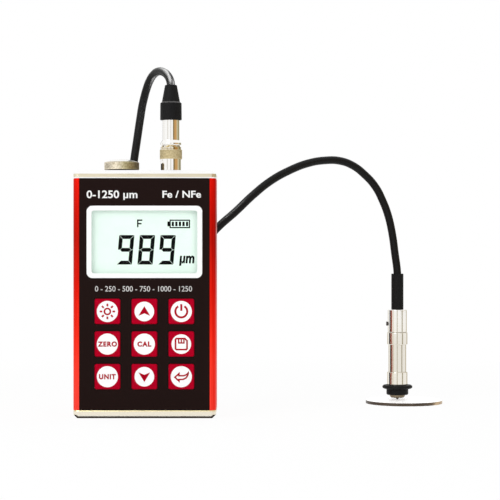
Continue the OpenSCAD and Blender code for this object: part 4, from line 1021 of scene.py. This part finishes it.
probe_low, probe_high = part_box("probe_barrel")
ring_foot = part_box("probe_lock_ring")[0].z
cap_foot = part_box("probe_lock_ring")[1].z
cap_low, cap_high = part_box("probe_cap")
probe_r, probe_bore, neck_wall = (probe_high.x - probe_low.x) / 2, 0.00475, 0.0002
head_r, seam_half = 0.00565, 0.00015
thread_r, nut_gap = probe_r - neck_wall, 0.00005
lead_bore, cord_stop = 0.001, cap_high.z - 0.003
tube_soft, head_soft, sleeve_soft = 0.00025, 0.0009, 0.0003
cream, seam_painted_shade = (0.86, 0.83, 0.77), (0.68, 0.63, 0.52)
foot_tone, nut_tone, head_tone = (0.92, 0.89, 0.83), (0.92, 0.9, 0.85), (0.97, 0.95, 0.91)
# Painted shade: dark lines at the seams between the foot and the tube and between the nut and the head.
tint_along(probe_chrome, "Z", [
    (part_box("probe_foot")[0].z, foot_tone), (probe_low.z - seam_half, foot_tone), (probe_low.z, seam_painted_shade),
    (probe_low.z + seam_half, cream), (ring_foot, cream), (cap_foot - seam_half, nut_tone),
    (cap_foot, seam_painted_shade), (cap_foot + seam_half, head_tone), (cap_high.z, bare)])
parts = [
    probe_ring("probe_tube", "probe_barrel", probe_bore, probe_chrome, tube_soft, (
        (probe_bore, probe_low.z), (probe_r, probe_low.z), (probe_r, ring_foot), (thread_r, ring_foot),
        (thread_r, probe_high.z), (probe_bore, probe_high.z))),
    probe_ring("probe_foot_ring", "probe_foot", probe_bore, probe_chrome),
    probe_ring("probe_lock_nut", "probe_lock_ring", thread_r + nut_gap, probe_chrome),
    probe_ring("probe_head", "probe_cap", lead_bore, probe_chrome, head_soft, (
        (lead_bore, cap_low.z), (probe_bore, cap_low.z), (probe_bore, cap_foot), (head_r, cap_foot),
        (head_r, cap_high.z), (cord_bore, cap_high.z), (cord_bore, cord_stop), (lead_bore, cord_stop))),
]
sleeve = probe_ring("shrink_sleeve", "probe_sleeve", cord_bore, sleeve_black, sleeve_soft)

# The soft collar is a rubber ring with a brim, pushed into the foot. The plunger slides in it,
# turned from brass and plated, with a hard steel tip at its middle that touches the work.
collar_rubber = new_finish(
    "collar_rubber", ((0.004, 0.004, 0.0042), (0.008, 0.008, 0.0082)), 0, (0.42, 0.56), (900, 900, 900),
    (0.25, 0.00005), specular=0.12)
nose_brass = new_finish(
    "nose_brass", ((0.19, 0.15, 0.10), (0.27, 0.22, 0.15)), 1, (0.2, 0.3), (60, 60, 4000),
    (0.08, 0.00002))
tip_steel = new_finish(
    "tip_steel", ((0.06, 0.05, 0.045), (0.12, 0.11, 0.1)), 1, (0.2, 0.3), (900, 900, 900),
    (0.05, 0.00002))
dress(tip_steel, "probe_tip", "probe_set_screw")
low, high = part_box("probe_collar")
brim_r, collar_foot_r, collar_bore = (high.x - low.x) / 2, 0.0064, 0.0046
brim_z, collar_top, collar_top_r = low.z + 0.0046, low.z + 0.0059, 0.006
brim_in, brim_edge, brim_half = brim_r - 0.0008, brim_r - 0.00015, 0.0006
brim_foot, brim_under, brim_over = brim_z - 0.0014, brim_z - 0.001, brim_z + 0.0011
foot_in, foot_up, collar_fit, collar_soft = 0.0004, 0.0005, probe_bore - 0.00005, 0.00035
collar = probe_ring("rubber_collar", "probe_collar", collar_bore, collar_rubber, collar_soft, (
    (collar_bore, low.z), (collar_foot_r - foot_in, low.z), (collar_foot_r, low.z + foot_up),
    (collar_foot_r, brim_foot), (brim_in, brim_under), (brim_edge, brim_z - brim_half), (brim_r, brim_z),
    (brim_edge, brim_z + brim_half), (brim_in, brim_over), (collar_top_r, collar_top),
    (collar_fit, collar_top), (collar_fit, high.z), (collar_bore, high.z)))
low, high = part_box("probe_plunger")
plunger_x, plunger_y = axis_of(low, high)
plunger_r, plunger_bore, stop_r, tip_hole = 0.0045, 0.0034, 0.0047, 0.00085
stop_gap, stop_t, floor_t, nose, plunger_soft = 0.00005, 0.0018, 0.0026, 0.0008, 0.00012
stop_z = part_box("probe_collar")[1].z + stop_gap
plunger = turned("measuring_plunger", plunger_x, plunger_y, [
    (tip_hole, low.z), (plunger_r - nose, low.z), (plunger_r, low.z + nose), (plunger_r, stop_z),
    (stop_r, stop_z), (stop_r, stop_z + stop_t), (plunger_r, stop_z + stop_t), (plunger_r, high.z),
    (plunger_bore, high.z), (plunger_bore, low.z + floor_t), (tip_hole, low.z + floor_t)], plunger_soft)
plunger.data.materials.append(nose_brass)
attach(plunger, "probe_plunger")
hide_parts("probe_plunger")

# The plunger's spring is wound of steel wire. It stands on the plunger's top and under the cap's spigot.
# It is squeezed together when the plunger goes in, but here it is built at rest.
low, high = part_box("probe_spring")
wire_d, coil_turns, coil_steps, squeeze = 0.0007, 4, 24, 0.00254
coil_r = (high.x - low.x - wire_d) / 2
coil, winding = new_wire("plunger_spring", "POLY", wire_d, fineness=2)
winding.points.add(coil_turns * coil_steps)
rise = (high.z - low.z - wire_d) / (coil_turns * coil_steps)
for step, point in enumerate(winding.points):
    a = math.tau * step / coil_steps
    height = low.z + wire_d / 2 + rise * step
    point.co = (plunger_x + coil_r * math.cos(a), plunger_y + coil_r * math.sin(a), height, 1)
bpy.ops.object.convert(target="MESH")
bpy.ops.object.shade_smooth()
coil.data.materials.append(bpy.data.materials["spring_steel"])
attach(coil, "gauge")
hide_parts("probe_spring")
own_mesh(coil)

# The zero plate is a steel disc for setting the reading to nought, turned and then ground flat.
# Its faces are bright, with a painted glow, and its rim is dark, a painted reflection, with a painted
# glint at its right end. The probe stands on it, loose.
zero_polish_and_glow = new_finish(
    "zero_polish_and_glow", ((0.97, 0.97, 0.965), (1.0, 1.0, 0.995)), 0.2, (0.3, 0.42), (500, 500, 500),
    (0.03, 0.00002), glow=(1, 1, 0.99), power=0.33)
zero_rim_painted_reflection = new_finish(
    "zero_rim_painted_reflection", ((0.05, 0.038, 0.028), (0.13, 0.10, 0.075)), 0.8, (0.3, 0.42), (200, 200, 4000),
    (0.1, 0.00003))
low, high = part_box("zero_plate")
disc_r, disc_soft, disc_sides = (high.x - low.x) / 2, 0.0002, 192
# Painted highlight: the rim lightens to a glint towards its right end.
light_end, lit, painted_glare = 0.0075, (1.9, 1.9, 1.8), (6.4, 6.2, 5.2)
tint_along(zero_rim_painted_reflection, "X", [
    (low.x, bare), (high.x - 1.4 * light_end, bare), (high.x - light_end, lit),
    (high.x - 0.65 * light_end, painted_glare), (high.x, painted_glare)])
disc = turned("zero_disc", *axis_of(low, high), [
    (0, low.z), (disc_r, low.z), (disc_r, high.z), (0, high.z)], disc_soft, disc_sides)
disc.data.materials.append(zero_polish_and_glow)
disc.data.materials.append(zero_rim_painted_reflection)
for face in disc.data.polygons:
    face.material_index = 1 if abs(face.normal.z) < 0.3 else 0
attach(disc, "gauge")
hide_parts("zero_plate")
